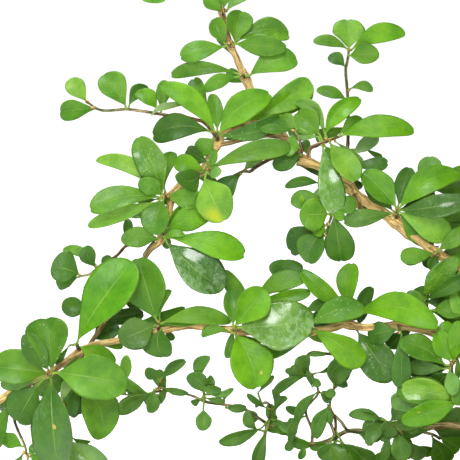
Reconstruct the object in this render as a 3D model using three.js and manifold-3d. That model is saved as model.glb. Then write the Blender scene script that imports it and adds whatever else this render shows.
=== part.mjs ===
// Singapore holly bonsai in an unglazed tray, in millimetres, +Z up, +Y away from the viewer.
// The origin is the centre of the tray's flat underside.
import * as THREE from "three";
import { mergeVertices } from "three/addons/utils/BufferGeometryUtils.js";
import Module from "manifold-3d";

const wasm = await Module();
wasm.setup();

// Driving dimensions
const TRAY_LENGTH = 212;
const TRAY_DEPTH = 152;
const TRAY_HEIGHT = 50;
const TRAY_CORNER = 26;
const TRAY_WALL = 5;
const TRAY_FLOOR = 6;
const TRAY_FLARE = 7;
const TRAY_BEVEL = 1;
const LIP_HEIGHT = 7;
const LIP_OVERHANG = 3;
const CORNER_STEPS = 4;
const CORNER_TIGHTENING = 0.6;
const LEAST_CORNER = 3;
const DRAIN_RADIUS = 8;
const DRAIN_OFFSET = 52;
const DRAIN_SIDES = 12;
const SCREEN_SIDE = 25;
const SCREEN_THICKNESS = 1;
const SCREEN_CELLS = 2;
const SCREEN_BAR = 2.5;
const SOIL_BELOW_RIM = 6;
const SOIL_RISE = [[0, 0], [6, 1.5], [22, 4.2], [42, 7]];
const GAP = 0.3;
const LEAF_THICKNESS = 0.7;
const LEAF_CLEARANCE = 0.6;
const PETIOLE_HALF_WIDTH = 0.32;
const TREE_SEED = 20261125;
const SAME_POINT = 1e-4;
const SLIVER = 1e-6;
const NEARLY_UPRIGHT = 0.9;

// The front of the crown is laid out in a plane seen from a little above, in front of the tray's left half.
// A reading is [across, up, towards the viewer], and it keeps its place in the view at any depth.
const VIEW_DISTANCE = 500;
const VIEW_PITCH = THREE.MathUtils.degToRad(12);
const VIEW_CENTRE = new THREE.Vector3(-75, 0, 150);
const VIEW_HALF = 69;
const VIEW_RIGHT = new THREE.Vector3(1, 0, 0);
const VIEW_UP = new THREE.Vector3(0, Math.sin(VIEW_PITCH), Math.cos(VIEW_PITCH));
const TO_VIEWER = new THREE.Vector3(0, -Math.cos(VIEW_PITCH), Math.sin(VIEW_PITCH));
const UP = new THREE.Vector3(0, 0, 1);

const vec = (x, y, z) => new THREE.Vector3(x, y, z);

// A reading in the view plane as a point in space
function inView([across, up, towards]) {
  const shrink = 1 - towards / VIEW_DISTANCE;
  return VIEW_CENTRE.clone()
    .addScaledVector(VIEW_RIGHT, across * shrink)
    .addScaledVector(VIEW_UP, up * shrink)
    .addScaledVector(TO_VIEWER, towards);
}

// A point in space as a reading in the view plane
function viewReading(point) {
  const offset = point.clone().sub(VIEW_CENTRE);
  const towards = offset.dot(TO_VIEWER);
  const shrink = 1 - towards / VIEW_DISTANCE;
  return [offset.dot(VIEW_RIGHT) / shrink, offset.dot(VIEW_UP) / shrink, towards];
}

// Materials
const bark = new THREE.MeshStandardMaterial({ color: 0x8f7250, roughness: 0.9, metalness: 0 });
const foliage = new THREE.MeshStandardMaterial({ color: 0x4f9128, roughness: 0.4, metalness: 0 });
const stoneware = new THREE.MeshStandardMaterial({ color: 0x6d4433, roughness: 0.75, metalness: 0 });
const earth = new THREE.MeshStandardMaterial({ color: 0x4b3a2c, roughness: 1, metalness: 0 });
const netting = new THREE.MeshStandardMaterial({ color: 0x23302b, roughness: 0.6, metalness: 0 });

const part = new THREE.Group();
part.name = "singapore_holly_bonsai";

// Solids
function solidOf(geometry) {
  const bare = geometry.clone();
  bare.deleteAttribute("normal");
  bare.deleteAttribute("uv");
  const merged = mergeVertices(bare, SAME_POINT);
  return new wasm.Manifold(
    new wasm.Mesh({
      numProp: 3,
      vertProperties: new Float32Array(merged.attributes.position.array),
      triVerts: new Uint32Array(merged.index.array),
    }),
  );
}

function surface(points, faces) {
  const geometry = new THREE.BufferGeometry();
  const positions = points.flatMap((point) => [point.x, point.y, point.z]);
  geometry.setAttribute("position", new THREE.Float32BufferAttribute(positions, 3));
  geometry.setIndex(faces.flat());
  return geometry;
}

function addNode(name, solid, material) {
  const { numProp, vertProperties, triVerts } = solid.getMesh();
  const positions = [];
  for (let i = 0; i < vertProperties.length; i += numProp) {
    positions.push(vertProperties[i], vertProperties[i + 1], vertProperties[i + 2]);
  }
  const geometry = new THREE.BufferGeometry();
  geometry.setAttribute("position", new THREE.Float32BufferAttribute(positions, 3));
  geometry.setIndex(Array.from(triVerts));
  geometry.computeVertexNormals();
  const mesh = new THREE.Mesh(geometry, material);
  mesh.name = name;
  part.add(mesh);
}

// The largest body of a solid, without the scraps that a cut leaves
function largestBody(solid) {
  const bodies = solid.decompose();
  return bodies.reduce((best, body) => (body.volume() > best.volume() ? body : best));
}

// A closed skin through rings of points, each with as many points as the next, shut by a fan at both ends
function loftedSolid(rings) {
  const sides = rings[0].length;
  const points = rings.flat();
  const faces = [];
  for (let r = 0; r + 1 < rings.length; r++) {
    for (let i = 0; i < sides; i++) {
      const next = (i + 1) % sides;
      const [a, b] = [r * sides + i, r * sides + next];
      faces.push([a, b, b + sides], [a, b + sides, a + sides]);
    }
  }
  for (const [ring, turned] of [[0, true], [rings.length - 1, false]]) {
    const hub = points.length;
    const middle = rings[ring].reduce((sum, point) => sum.add(point), vec(0, 0, 0));
    points.push(middle.divideScalar(sides));
    for (let i = 0; i < sides; i++) {
      const [a, b] = [ring * sides + i, ring * sides + ((i + 1) % sides)];
      faces.push(turned ? [b, a, hub] : [a, b, hub]);
    }
  }
  return solidOf(surface(points, faces));
}

// Points evenly round a centre, from one direction square to the path towards the other
function ringOfPoints(centre, side, other, radius, sides, firstStep = 0) {
  return Array.from({ length: sides }, (_, i) => {
    const turn = (2 * Math.PI * (i + firstStep)) / sides;
    return centre
      .clone()
      .addScaledVector(side, radius * Math.cos(turn))
      .addScaledVector(other, radius * Math.sin(turn));
  });
}

// A direction that isn't nearly the path's own, to measure turns from
const firstSide = (tangent) => (Math.abs(tangent.z) < NEARLY_UPRIGHT ? UP : VIEW_RIGHT).clone();

// Tubes that taper along a path: a ring at each stop, square to the way there and on, with the stop's radius
function taperedTube(stops, radii, sides) {
  let side = null;
  const rings = stops.map((centre, s) => {
    const [before, after] = [stops[Math.max(s - 1, 0)], stops[Math.min(s + 1, stops.length - 1)]];
    const arriving = centre.clone().sub(before).normalize();
    const tangent = after.clone().sub(centre).normalize().add(arriving).normalize();
    side ??= firstSide(tangent);
    side.addScaledVector(tangent, -side.dot(tangent)).normalize();
    return ringOfPoints(centre, side, tangent.clone().cross(side), radii[s], sides);
  });
  return loftedSolid(rings);
}

const lerpEnds = ([first, last], share) => THREE.MathUtils.lerp(first, last, share);

// The point at a share of a path's length, and the way the path runs there
function onPath(stops, share) {
  const lengths = stops.slice(1).map((stop, i) => stop.distanceTo(stops[i]));
  let left = share * lengths.reduce((sum, length) => sum + length, 0);
  let leg = 0;
  while (leg < lengths.length - 1 && left > lengths[leg]) {
    left -= lengths[leg];
    leg += 1;
  }
  const point = stops[leg].clone().lerp(stops[leg + 1], Math.min(left / lengths[leg], 1));
  return { point, tangent: stops[leg + 1].clone().sub(stops[leg]).normalize() };
}

// A rounded rectangle at one height
function roundedRing(length, depth, corner, z) {
  const ring = [];
  for (let quarter = 0; quarter < 4; quarter++) {
    const right = quarter === 0 || quarter === 3 ? 1 : -1;
    const back = quarter < 2 ? 1 : -1;
    for (let i = 0; i <= CORNER_STEPS; i++) {
      const turn = (Math.PI / 2) * (quarter + i / CORNER_STEPS);
      const x = right * (length / 2 - corner) + corner * Math.cos(turn);
      const y = back * (depth / 2 - corner) + corner * Math.sin(turn);
      ring.push(vec(x, y, z));
    }
  }
  return ring;
}

// The tray's outline, drawn in from its rim by an inset, and the inset of its inner wall at a height
function trayRing(inset, z) {
  const corner = Math.max(TRAY_CORNER - inset * CORNER_TIGHTENING, LEAST_CORNER);
  return roundedRing(TRAY_LENGTH - 2 * inset, TRAY_DEPTH - 2 * inset, corner, z);
}

const innerInsetAt = (z) => {
  const rise = (z - TRAY_FLOOR) / (TRAY_HEIGHT - TRAY_FLOOR);
  return TRAY_FLARE * (1 - rise) + LIP_OVERHANG + TRAY_WALL;
};

function drains(radius, height) {
  return [-1, 1].map((side) => {
    const hole = new THREE.CylinderGeometry(radius, radius, height, DRAIN_SIDES);
    hole.rotateX(Math.PI / 2);
    hole.translate(side * DRAIN_OFFSET, 0, TRAY_FLOOR / 2);
    return solidOf(hole);
  });
}

function tray() {
  const lipFoot = TRAY_HEIGHT - LIP_HEIGHT;
  const skin = loftedSolid([
    trayRing(TRAY_FLARE + LIP_OVERHANG + TRAY_BEVEL, 0),
    trayRing(TRAY_FLARE + LIP_OVERHANG, TRAY_BEVEL),
    trayRing(LIP_OVERHANG, lipFoot),
    trayRing(0, lipFoot + TRAY_BEVEL),
    trayRing(0, TRAY_HEIGHT - TRAY_BEVEL),
    trayRing(TRAY_BEVEL, TRAY_HEIGHT),
    trayRing(innerInsetAt(TRAY_HEIGHT), TRAY_HEIGHT),
    trayRing(innerInsetAt(TRAY_FLOOR), TRAY_FLOOR),
  ]);
  return drains(DRAIN_RADIUS, TRAY_FLOOR * 3).reduce((body, hole) => body.subtract(hole), skin);
}

// A square of plastic netting over each drain hole, and the pocket that it leaves in the soil
function sheetOver(side, grow) {
  const width = SCREEN_SIDE + 2 * grow;
  const sheet = new THREE.BoxGeometry(width, width, SCREEN_THICKNESS + 2 * grow);
  sheet.translate(side * DRAIN_OFFSET, 0, TRAY_FLOOR + SCREEN_THICKNESS / 2);
  return solidOf(sheet);
}

function screen(side) {
  const cell = (SCREEN_SIDE - SCREEN_BAR * (SCREEN_CELLS + 1)) / SCREEN_CELLS;
  const pitch = cell + SCREEN_BAR;
  let sheet = sheetOver(side, 0);
  for (let row = 0; row < SCREEN_CELLS; row++) {
    for (let column = 0; column < SCREEN_CELLS; column++) {
      const hole = new THREE.BoxGeometry(cell, cell, SCREEN_THICKNESS * 4);
      const middle = (SCREEN_CELLS - 1) / 2;
      hole.translate(side * DRAIN_OFFSET + (column - middle) * pitch, (row - middle) * pitch, TRAY_FLOOR);
      sheet = sheet.subtract(solidOf(hole));
    }
  }
  return sheet;
}

function soil(rootsWithGap) {
  const top = TRAY_HEIGHT - SOIL_BELOW_RIM;
  const bottom = TRAY_FLOOR + GAP;
  const edge = innerInsetAt(top) + GAP;
  const body = loftedSolid([
    trayRing(innerInsetAt(bottom) + GAP, bottom),
    ...SOIL_RISE.map(([inward, rise]) => trayRing(edge + inward, top + rise)),
  ]);
  const pocketed = [-1, 1].reduce((mass, side) => mass.subtract(sheetOver(side, GAP)), body);
  return pocketed.subtract(rootsWithGap);
}

// Seeded draws, the same on every run
function drawsFrom(seed) {
  let state = seed >>> 0;
  return (low, high) => {
    state = (Math.imul(state, 1664525) + 1013904223) >>> 0;
    return low + ((high - low) * state) / 4294967296;
  };
}

// The trunk, its surface roots and the limbs past the view, as points in space with a radius each
const TRUNK = {
  path: [
    [20, 3, 18],
    [19, 3, 46],
    [24, 2, 75],
    [17, 0, 103],
    [12, 2, 130],
    [18, 5, 152],
    [25, 5, 172],
    [28, 2, 195],
    [29, 0, 212],
    [27, -1, 226],
  ],
  radii: [7, 10.5, 8.2, 7.2, 6.2, 5, 4.2, 3, 2.2, 1.2],
};
const ROOTS = [
  { heading: -170, reach: 34, thick: 4.6 },
  { heading: -118, reach: 26, thick: 3.8 },
  { heading: -48, reach: 31, thick: 4.3 },
  { heading: 8, reach: 27, thick: 4 },
  { heading: 62, reach: 30, thick: 3.9 },
  { heading: 128, reach: 28, thick: 4.2 },
];
const OUTER_LIMBS = [
  {
    name: "right_low",
    path: [[17, 1, 98], [38, -16, 108], [62, -26, 113], [80, -30, 110]],
    radii: [2.8, 2, 1.4, 1],
  },
  {
    name: "right_back",
    path: [[13, 3, 118], [36, 18, 130], [60, 28, 136], [80, 32, 132]],
    radii: [2.8, 2, 1.4, 1],
  },
  {
    name: "front",
    path: [[13, 2, 134], [28, -22, 146], [42, -42, 151], [52, -54, 148]],
    radii: [2.4, 1.8, 1.3, 0.9],
  },
  {
    name: "right_mid",
    path: [[17, 4, 150], [42, 0, 163], [66, -4, 168], [86, -6, 162]],
    radii: [2.5, 1.9, 1.3, 0.9],
  },
  {
    name: "back",
    path: [[22, 5, 163], [30, 30, 176], [36, 50, 179], [40, 62, 172]],
    radii: [2.3, 1.7, 1.2, 0.9],
  },
  {
    name: "upper_left",
    path: [[28, 3, 190], [12, 0, 212], [-8, -3, 228], [-26, -4, 235]],
    radii: [2, 1.5, 1.1, 0.8],
  },
  {
    name: "upper_right",
    path: [[28, 2, 198], [46, -4, 214], [60, -6, 220]],
    radii: [1.7, 1.3, 0.9],
  },
  {
    name: "upper_front",
    path: [[27, 2, 182], [30, -20, 197], [33, -36, 202]],
    radii: [1.8, 1.3, 0.9],
  },
];

// Limbs and branches in front, as readings with a radius each; those that leave the trunk say where
const VIEW_LIMBS = [
  {
    from: [12, 2, 126],
    path: [
      [78, -17, 2], [69, -11, 3], [62, -7, 3], [56, -2.5, 2], [53.5, -1.5, 1.5], [49.5, 2.5, 1],
      [44, 6.5, 0], [38, 10.5, 0], [35, 13.5, 0], [28, 18.5, 0], [23, 20.6, 0], [20.5, 21.3, 0],
    ],
    radii: [4.2, 3.2, 2.7, 2.4, 2.2, 2.1, 2.2, 1.9, 1.9, 1.8, 1.8, 1.7, 1.6],
  },
  {
    path: [
      [20.5, 21.3, 0], [16.5, 27.5, -2], [12.5, 33, -3], [9.5, 37, -2], [6.2, 42, -0.5], [4.5, 46, 0],
      [3, 49, 0], [1.8, 52, 0], [0.5, 54.5, 0], [-1.2, 60, 0], [-1.8, 63, 0], [-3.2, 68, 0], [-3, 76, 0],
      [0, 85, -2],
    ],
    radii: [1.5, 1.5, 1.5, 1.45, 1.4, 1.4, 1.2, 1.1, 1.1, 1, 0.95, 0.85, 0.8, 0.7],
  },
  {
    path: [
      [13.5, 31.6, -2.8], [6, 32.4, -4.5], [0, 30.5, -4], [-3.2, 28, -1.5], [-4, 25.5, 0], [-6, 22, 0],
      [-7.3, 18.5, 0], [-10, 16.8, 0], [-14, 14.2, 0], [-17, 10.5, 0], [-18, 7.5, 0], [-18.3, 4.5, 0],
      [-19, 2, 0], [-20.3, -0.5, 0], [-21, -3.5, 0], [-24, -6, -1.5], [-25.5, -8.2, -3.5],
      [-29, -15, -7], [-34, -22, -8], [-38.5, -29, -7], [-41.5, -33.5, -6], [-45, -39, -6.5],
      [-50.4, -48.6, -8],
    ],
    radii: [
      1.5, 1.5, 1.5, 1.5, 1.5, 1.5, 1.5, 1.45, 1.4, 1.4, 1.3, 1.3, 1.25, 1.2, 1.1, 0.9, 0.9, 0.85, 0.8,
      0.8, 0.75, 0.7, 0.6,
    ],
  },
  {
    path: [
      [21.2, 21.6, 0], [19.5, 25.4, 2.5], [16, 27.7, 3.5], [12, 28.4, 3.5], [8.5, 28, 3], [3, 27, 2],
      [0, 26.2, 1], [-4, 25.5, 0],
    ],
    radii: [0.9, 0.9, 0.9, 0.85, 0.85, 0.8, 0.8, 0.8],
  },
  {
    from: [17, 0, 101],
    path: [
      [84, -40, 0], [72, -32.5, 2], [60, -30.3, 2], [53, -29, 2], [49, -28.6, 2], [41, -29.2, 2],
      [34, -28.3, 2], [31, -29.3, 2], [24, -30.5, 1], [16, -31, -1], [8, -30.8, -1], [1.3, -30, 0],
      [-4, -29.6, 0], [-12, -28.8, 0], [-16, -29.3, 0], [-21.5, -30.5, 0], [-28, -32, 0],
      [-35.5, -33.5, 0], [-40.5, -34.3, 0], [-45.6, -36.6, 1], [-54, -42.9, 2], [-60, -46, 3],
      [-69, -51, 4], [-75, -55, 4],
    ],
    radii: [
      3.4, 2.6, 1.8, 1.5, 1.35, 1.35, 1.3, 1.3, 1.3, 1.25, 1.2, 1.2, 1.2, 1.2, 1.15, 1.15, 1.1, 1.1, 1.1,
      1.1, 1.05, 1, 1.1, 1.2, 1.1,
    ],
  },
  {
    from: [22, 4, 66],
    path: [
      [84, -66, -30], [69, -59, -42], [58, -59.5, -45], [48, -61, -45], [36, -60.2, -45], [30, -63, -45],
      [24, -64.3, -45], [19, -62, -45], [13, -59.3, -45], [8, -56, -45], [4, -53.5, -45],
      [-1, -52.5, -45], [-7.4, -51.5, -45], [-12, -49.5, -45], [-20, -48.3, -45], [-27, -49.5, -45],
      [-32.5, -49.3, -45],
    ],
    radii: [2.4, 2, 1.6, 1.3, 1.1, 1, 0.9, 0.9, 0.8, 0.8, 0.7, 0.7, 0.6, 0.6, 0.55, 0.5, 0.45, 0.45],
  },
];

// Sprays in front. Each has a stem of readings, with its first and last radius, and leaves.
// A leaf is [base across, base up, tip across, tip up, width, how much nearer its tip is than its base].
const VIEW_SPRAYS = [
  {
    name: "twig_top_left",
    stem: [
      [-4, 27.6, 0], [-7.5, 32, 1.5], [-10.5, 33.2, 2], [-14, 34, 2], [-20, 34.6, 1.5], [-24, 35.3, 1],
      [-30.6, 36.2, 0.5], [-34, 36, 0.5], [-37.5, 35.8, 0], [-40, 36.4, 0], [-42.6, 38.2, 0],
    ],
    radii: [0.6, 0.42],
    leaves: [
      [-43.2, 38.6, -48.6, 45, 8, 2], [-40.2, 36.4, -51, 35.5, 6.5, -3],
      [-31.3, 37.2, -37.5, 46.5, 8.5, 0], [-30.3, 37.2, -23.5, 42.8, 3.5, -2],
      [-22, 36.3, -28.5, 40.2, 4.5, 2], [-23.5, 34.6, -13.5, 38, 1.8, 3],
      [-20.5, 36, -19.5, 45.5, 4, -2], [-6.5, 35, -9.8, 45.6, 5, -4],
    ],
  },
  {
    name: "spray_heart",
    stem: [[-3.6, 26.6, 0], [-4, 28.2, 3.5], [-4, 29.4, 5]],
    radii: [0.8, 0.6],
    leaves: [
      [-4.4, 29, -21, 43.8, 6.5, 3], [-3.8, 30, -4.7, 41, 4, 0], [-3.2, 29, 13, 41.5, 7, 2],
      [-6, 29.5, -23.4, 28.5, 9, 1], [-3.3, 28.4, 15, 34, 5.5, 0], [-4.9, 27.4, -10, 23.5, 5, 2],
    ],
  },
  {
    name: "spray_limb_mid",
    stem: [[4.4, 46, 0], [4.1, 46.2, 2.6], [3.6, 46.4, 4.2]],
    radii: [0.7, 0.5],
    leaves: [[2, 47, -18, 46.5, 4.5, -1], [1.8, 45.8, -8.5, 41.5, 3.5, 2], [5.8, 46.2, 20.5, 50.5, 6, 0]],
  },
  {
    name: "spray_limb_high",
    stem: [[0.3, 55, 0], [0.2, 55.4, 2.6], [0, 55.7, 3.8]],
    radii: [0.7, 0.5],
    leaves: [
      [-1.7, 55, -15, 52, 5.5, 2], [-1.6, 56, -5, 63.5, 5, 0], [1.5, 56.2, 3.5, 65.2, 6.5, -1],
      [2.2, 56.6, 17, 59.5, 5.5, -3], [1.8, 55.8, 17, 54.5, 5, 3],
    ],
  },
  {
    name: "spray_limb_top",
    stem: [[-2.3, 64.8, 0], [-2.2, 65, 2.6], [-2, 65.4, 3.8]],
    radii: [0.6, 0.45],
    leaves: [[-2.4, 65.4, -7.5, 71.5, 6, 1], [-1, 65.6, 6.2, 72.5, 5, 0], [-2, 66.5, -2.5, 79, 6, 4]],
  },
  {
    name: "spray_top_edge",
    stem: [[-3, 75.5, 0], [-8, 75.8, 2], [-14, 74.6, 3], [-18, 74.6, 3]],
    radii: [0.6, 0.4],
    leaves: [
      [-16.5, 73.8, -27, 70, 5.5, 1], [-18, 75, -30, 79, 6.5, 2], [-14, 75.5, -19, 87, 6, -2],
      [-9, 76.5, -11, 88, 6.5, 2],
    ],
  },
  {
    name: "spray_hidden_limb",
    stem: [[3.5, 32, -4.3], [3.6, 32.4, -1], [3.8, 32.6, 1.5]],
    radii: [0.8, 0.55],
    leaves: [[4.4, 32.6, 25.8, 41.3, 6.5, 2], [6, 33.5, 22, 46, 5, -2]],
  },
  {
    name: "twig_right_up",
    stem: [
      [35.6, 12.6, 0], [35.8, 18, -3], [35.3, 24, -4], [35.4, 27, -4], [35.5, 34, -2], [35.3, 40, 0],
      [34.7, 48, 0], [35.2, 50.5, 0], [35.5, 52.5, 0], [35.6, 54, 0],
    ],
    radii: [0.7, 0.4],
    leaves: [
      [34.8, 39.3, 26, 42.2, 3, 1], [35.2, 54.3, 24.9, 56.7, 3, 3], [35.7, 54.6, 35.3, 63, 8.5, -2],
      [36.3, 53.9, 52.6, 59.3, 5.5, 2], [35.8, 52.3, 44.8, 52.3, 5.2, 3], [34.4, 49, 29.5, 52.2, 4, 1],
      [36, 42.3, 43, 42, 2.8, 2], [36.5, 22.5, 45, 27.5, 4, -2], [36.6, 19.6, 47.5, 20, 4.5, 1],
    ],
  },
  {
    name: "twig_fork_right",
    stem: [
      [23.4, 20.8, 0], [24, 24.4, 2.4], [26, 25.4, 3.4], [28.5, 26.5, 3.8], [31, 27.5, 3.8],
      [32.8, 28, 3.8],
    ],
    radii: [0.75, 0.5],
    leaves: [
      [26.5, 28, 18.2, 29.6, 3.5, 2], [26.8, 28.7, 20.5, 34.8, 6.5, -1], [28.4, 29, 18.8, 38, 3.5, -4],
      [28.6, 28.8, 39.2, 39.5, 5.5, 3], [33, 28.7, 39.8, 33.3, 4, -2], [32.8, 28.1, 55.4, 30, 7, 2],
      [27.8, 25, 31.5, 6.8, 6.5, 5], [28.4, 25.2, 34.5, 17.5, 5, 1], [30, 26, 37, 14.8, 7.5, 4],
      [31.5, 26.6, 40, 20.5, 1.8, -1],
    ],
  },
  {
    name: "twig_fork_left",
    stem: [[21, 22.2, 0], [21.4, 23.4, 2.6], [21.6, 24.2, 4.6], [20.8, 27, 6.4], [19.6, 29.6, 6.4]],
    radii: [0.75, 0.45],
    leaves: [
      [21.4, 22.6, 12.8, 19, 4.8, -1], [21.2, 24.6, 16.5, 24.5, 4.3, 1], [19, 30, 8.8, 30.3, 3, 1],
      [20, 30.6, 14.5, 33, 3.5, -1],
    ],
  },
  {
    name: "spray_bend",
    stem: [[-7.2, 18.2, 0], [-7, 18, 3], [-6.8, 17.8, 4.6]],
    radii: [0.8, 0.6],
    leaves: [
      [-7.8, 18, -16.8, 20.3, 4.5, 2], [-6.8, 20.5, -13.2, 24, 4, 0], [-9, 17.2, -16.4, 16, 4.5, 0],
      [-6.4, 16.9, -2.7, 17.8, 2.5, 2], [-6, 18.4, -4, 24.5, 2.5, 2], [-6.3, 18.3, 17.2, 24.6, 5.4, 2],
      [-7.6, 15.5, -3, 2.3, 9.5, 3],
    ],
  },
  {
    name: "twig_inner",
    stem: [
      [21.5, 20.6, 0], [16, 22.2, -3], [12, 21.2, -3.5], [8, 19, -3.5], [6, 17.5, -3.5], [4, 17.6, -3.5],
      [0, 15.7, -3], [-3, 14.6, -3],
    ],
    radii: [0.75, 0.45],
    leaves: [[4.2, 18, 9.5, 21.5, 2.5, -3], [3.5, 16.8, -2, 8, 6, -1]],
  },
  {
    name: "spray_elbow",
    stem: [[-17.2, 10.2, 0], [-18.8, 10.4, 3], [-19.8, 10.3, 4.4]],
    radii: [0.8, 0.6],
    leaves: [
      [-20.4, 11, -28, 27.8, 7.5, 2], [-21, 10.8, -40.2, 21.2, 5, -1], [-20.8, 10.5, -27.8, 14.8, 6, 4],
      [-20.8, 9.8, -42.2, 6, 7.5, 3], [-21.5, 8.5, -43, 1.2, 4, -3], [-20, 9, -22.5, -0.5, 7, 2],
      [-19, 10.2, -9.2, 9.8, 5.5, 1], [-19.6, 12, -17, 23.4, 5, -1],
    ],
  },
  {
    name: "spray_lower",
    stem: [[-20.2, -1, 0], [-20, -1.6, 2.8], [-19.8, -2, 4]],
    radii: [0.75, 0.6],
    leaves: [
      [-19, -0.5, -5.5, 5, 7.5, 3], [-21.7, -2.6, -32.8, -2, 5.8, 2], [-18, -2.3, 4.7, -6.8, 7.5, 2],
      [-18.8, -4, -2, -17.8, 11, 2], [-19, 0.6, -12, 8, 3, -1],
    ],
  },
  {
    name: "twig_left",
    stem: [
      [-21.4, -2.6, -0.6], [-26, -3.4, -2.5], [-31, -4.7, -3], [-34, -7.7, -3], [-38, -10, -3],
      [-42, -13.2, -3], [-44.8, -13.8, -3],
    ],
    radii: [0.65, 0.4],
    leaves: [
      [-45.3, -13.3, -53.8, -11.5, 9, 2], [-45.4, -14.2, -51.5, -17.6, 6, -3],
      [-41.2, -9.5, -50.3, -5.6, 3.3, -2], [-40.5, -11, -43.3, -4.8, 4.8, 2],
      [-38.6, -10.6, -36, -7.2, 3.5, 1], [-30.6, -4.2, -31, 2.6, 3, -1],
    ],
  },
  {
    name: "spray_lower_limb",
    stem: [[-21.4, -30.4, 0], [-21.4, -29, 2.6], [-21.4, -27.8, 3.6]],
    radii: [0.8, 0.6],
    leaves: [
      [-22.2, -26.6, -27.5, -8.2, 12, 2], [-21, -27, -17.8, -17.8, 4, -1],
      [-20.6, -28, 0.5, -27.6, 5.5, -1], [-20.6, -29.6, -18.6, -38.4, 9, -1],
      [-22.6, -28.6, -34.5, -33.5, 8, 3],
    ],
  },
  {
    name: "spray_big_leaf",
    stem: [[-45, -36.4, 1], [-45.8, -34.8, 4], [-45.9, -34.1, 5]],
    radii: [0.75, 0.55],
    leaves: [[-45.6, -33, -29, -9.5, 14, 2], [-45, -35, -34.5, -40, 6.5, 1]],
  },
  {
    name: "spray_behind_big_leaf",
    stem: [[-35.6, -24.4, -7.6], [-37.5, -24.6, -5], [-39.4, -24.4, -4]],
    radii: [0.6, 0.45],
    leaves: [[-42.5, -24, -50.5, -22.3, 6.2, 0], [-39.6, -23.6, -45, -16.6, 5, -2]],
  },
  {
    name: "spray_left_end",
    stem: [[-54, -42.8, 2], [-54.4, -43.2, 5.4], [-54.2, -43, 8.6]],
    radii: [0.9, 0.7],
    leaves: [
      [-53.4, -42, -54.3, -26.1, 11, -2], [-54.4, -42, -63.4, -31.5, 7, 1], [-54.8, -43, -72, -41, 9, 2],
      [-53.6, -45, -52, -73, 12, 4], [-52, -42.8, -30.5, -46.6, 11, 3],
      [-58.6, -45.6, -68, -46.4, 4, -6], [-57.6, -46.4, -63.6, -58.6, 9, -7],
    ],
  },
  {
    name: "spray_left_under",
    stem: [[-46.6, -41.6, -7], [-46.2, -43.6, -3.6], [-46, -45, -2.6]],
    radii: [0.6, 0.5],
    leaves: [
      [-45, -46, -39.5, -62.3, 12, 2], [-46.4, -45.6, -49.8, -50.2, 3, 2],
      [-45.6, -46.4, -47.5, -56, 4, -3],
    ],
  },
  {
    name: "twig_bottom_left",
    stem: [
      [-66, -49.2, 3.6], [-65.6, -51.4, 2], [-64.4, -58, -3], [-61.6, -64.6, -4.5], [-60.8, -68, -4.5],
    ],
    radii: [0.65, 0.4],
    leaves: [
      [-65.4, -52, -71.5, -66, 6.5, 3], [-62.4, -65, -69.5, -62.2, 4.5, 1],
      [-60.6, -68.4, -62, -80, 7, 1], [-60, -67, -52.4, -72.4, 6.5, -2], [-62, -66.6, -70, -73, 5.5, 0],
    ],
  },
  {
    name: "spray_bottom_left",
    stem: [[-50.2, -48.2, -7.9], [-50.4, -53, -7], [-50, -59, -5.6], [-49, -62.6, -5]],
    radii: [0.6, 0.45],
    leaves: [
      [-48.4, -63.4, -35.5, -73.5, 9, 2], [-49.2, -64, -46, -76, 7.5, 0],
      [-50, -60.6, -57, -67.6, 6, -3], [-50.2, -51.6, -44.6, -55, 5, -3],
    ],
  },
  {
    name: "spray_far_left",
    stem: [[-74.6, -54.7, 4], [-78, -57.5, 5], [-82, -59.6, 5], [-85, -60.4, 5]],
    radii: [0.9, 0.45],
    leaves: [
      [-78, -57, -83, -44, 8, 2], [-79, -58.6, -76, -71, 7.5, 3], [-82, -59, -92, -50, 7.5, -3],
      [-82.6, -60.4, -86, -73, 7.5, -3], [-85.6, -60.2, -99, -58, 7, 4],
      [-85.4, -60.8, -96.5, -67.5, 6.5, -2],
    ],
  },
  {
    name: "spray_centre",
    stem: [[1.3, -30, 0], [1.3, -29.8, 3], [1.3, -29.6, 4.6]],
    radii: [0.9, 0.7],
    leaves: [
      [0.9, -28.4, 0.6, -17.5, 5.5, -2], [1.6, -28.6, 10.5, -18.5, 6.5, 3],
      [2.8, -29.2, 24.3, -26.5, 11.8, 1], [1.6, -31.4, 7.3, -48, 14, 3],
      [0.2, -30.6, -9.6, -33.2, 4.5, -2],
    ],
  },
  {
    name: "twig_centre_up",
    stem: [[3.4, -30.4, -0.6], [5, -26, -3.6], [7, -21, -4], [12, -18.8, -4], [16, -18.2, -4]],
    radii: [0.65, 0.4],
    leaves: [
      [6.2, -20.6, -1.8, -11.5, 6, 0], [7.6, -20, 23, -14.3, 5, 3], [16.6, -17.6, 16.5, -8.7, 9, -1],
      [7.6, -21.6, 24.5, -19.6, 3.8, 4], [5.6, -24, 13.6, -24.2, 5, -2],
    ],
  },
  {
    name: "spray_centre_right",
    stem: [[24, -30.4, 1], [24, -29.8, 4], [24, -29.6, 5.4]],
    radii: [0.75, 0.6],
    leaves: [
      [24.4, -31.4, 8.5, -37.6, 5, -2], [24.8, -29.8, 40.5, -39.8, 7.4, 3],
      [24.2, -28.4, 40.5, -23.6, 6.3, 1],
    ],
  },
  {
    name: "spray_knob",
    stem: [[36.4, -28.6, 2], [36.4, -27, -0.4], [36.4, -26, -1.6]],
    radii: [0.85, 0.6],
    leaves: [
      [35, -23.4, 21, -12, 5.5, 2], [36.2, -24, 36.2, -9.8, 6, 0], [38.6, -26.8, 42.8, -17, 4.5, -3],
      [38, -25.4, 63, -28.5, 7.5, 6], [34.6, -27, 24.5, -26.6, 4, -2], [38.4, -30.6, 49.2, -46.2, 10, 1],
    ],
  },
  {
    name: "spray_right_low",
    stem: [[50.6, -28.7, 2], [50.8, -29.4, 5], [50.8, -30.2, 6]],
    radii: [0.7, 0.5],
    leaves: [[51.4, -31, 52.4, -47.5, 4.8, -1]],
  },
  {
    name: "twig_middle",
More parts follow.
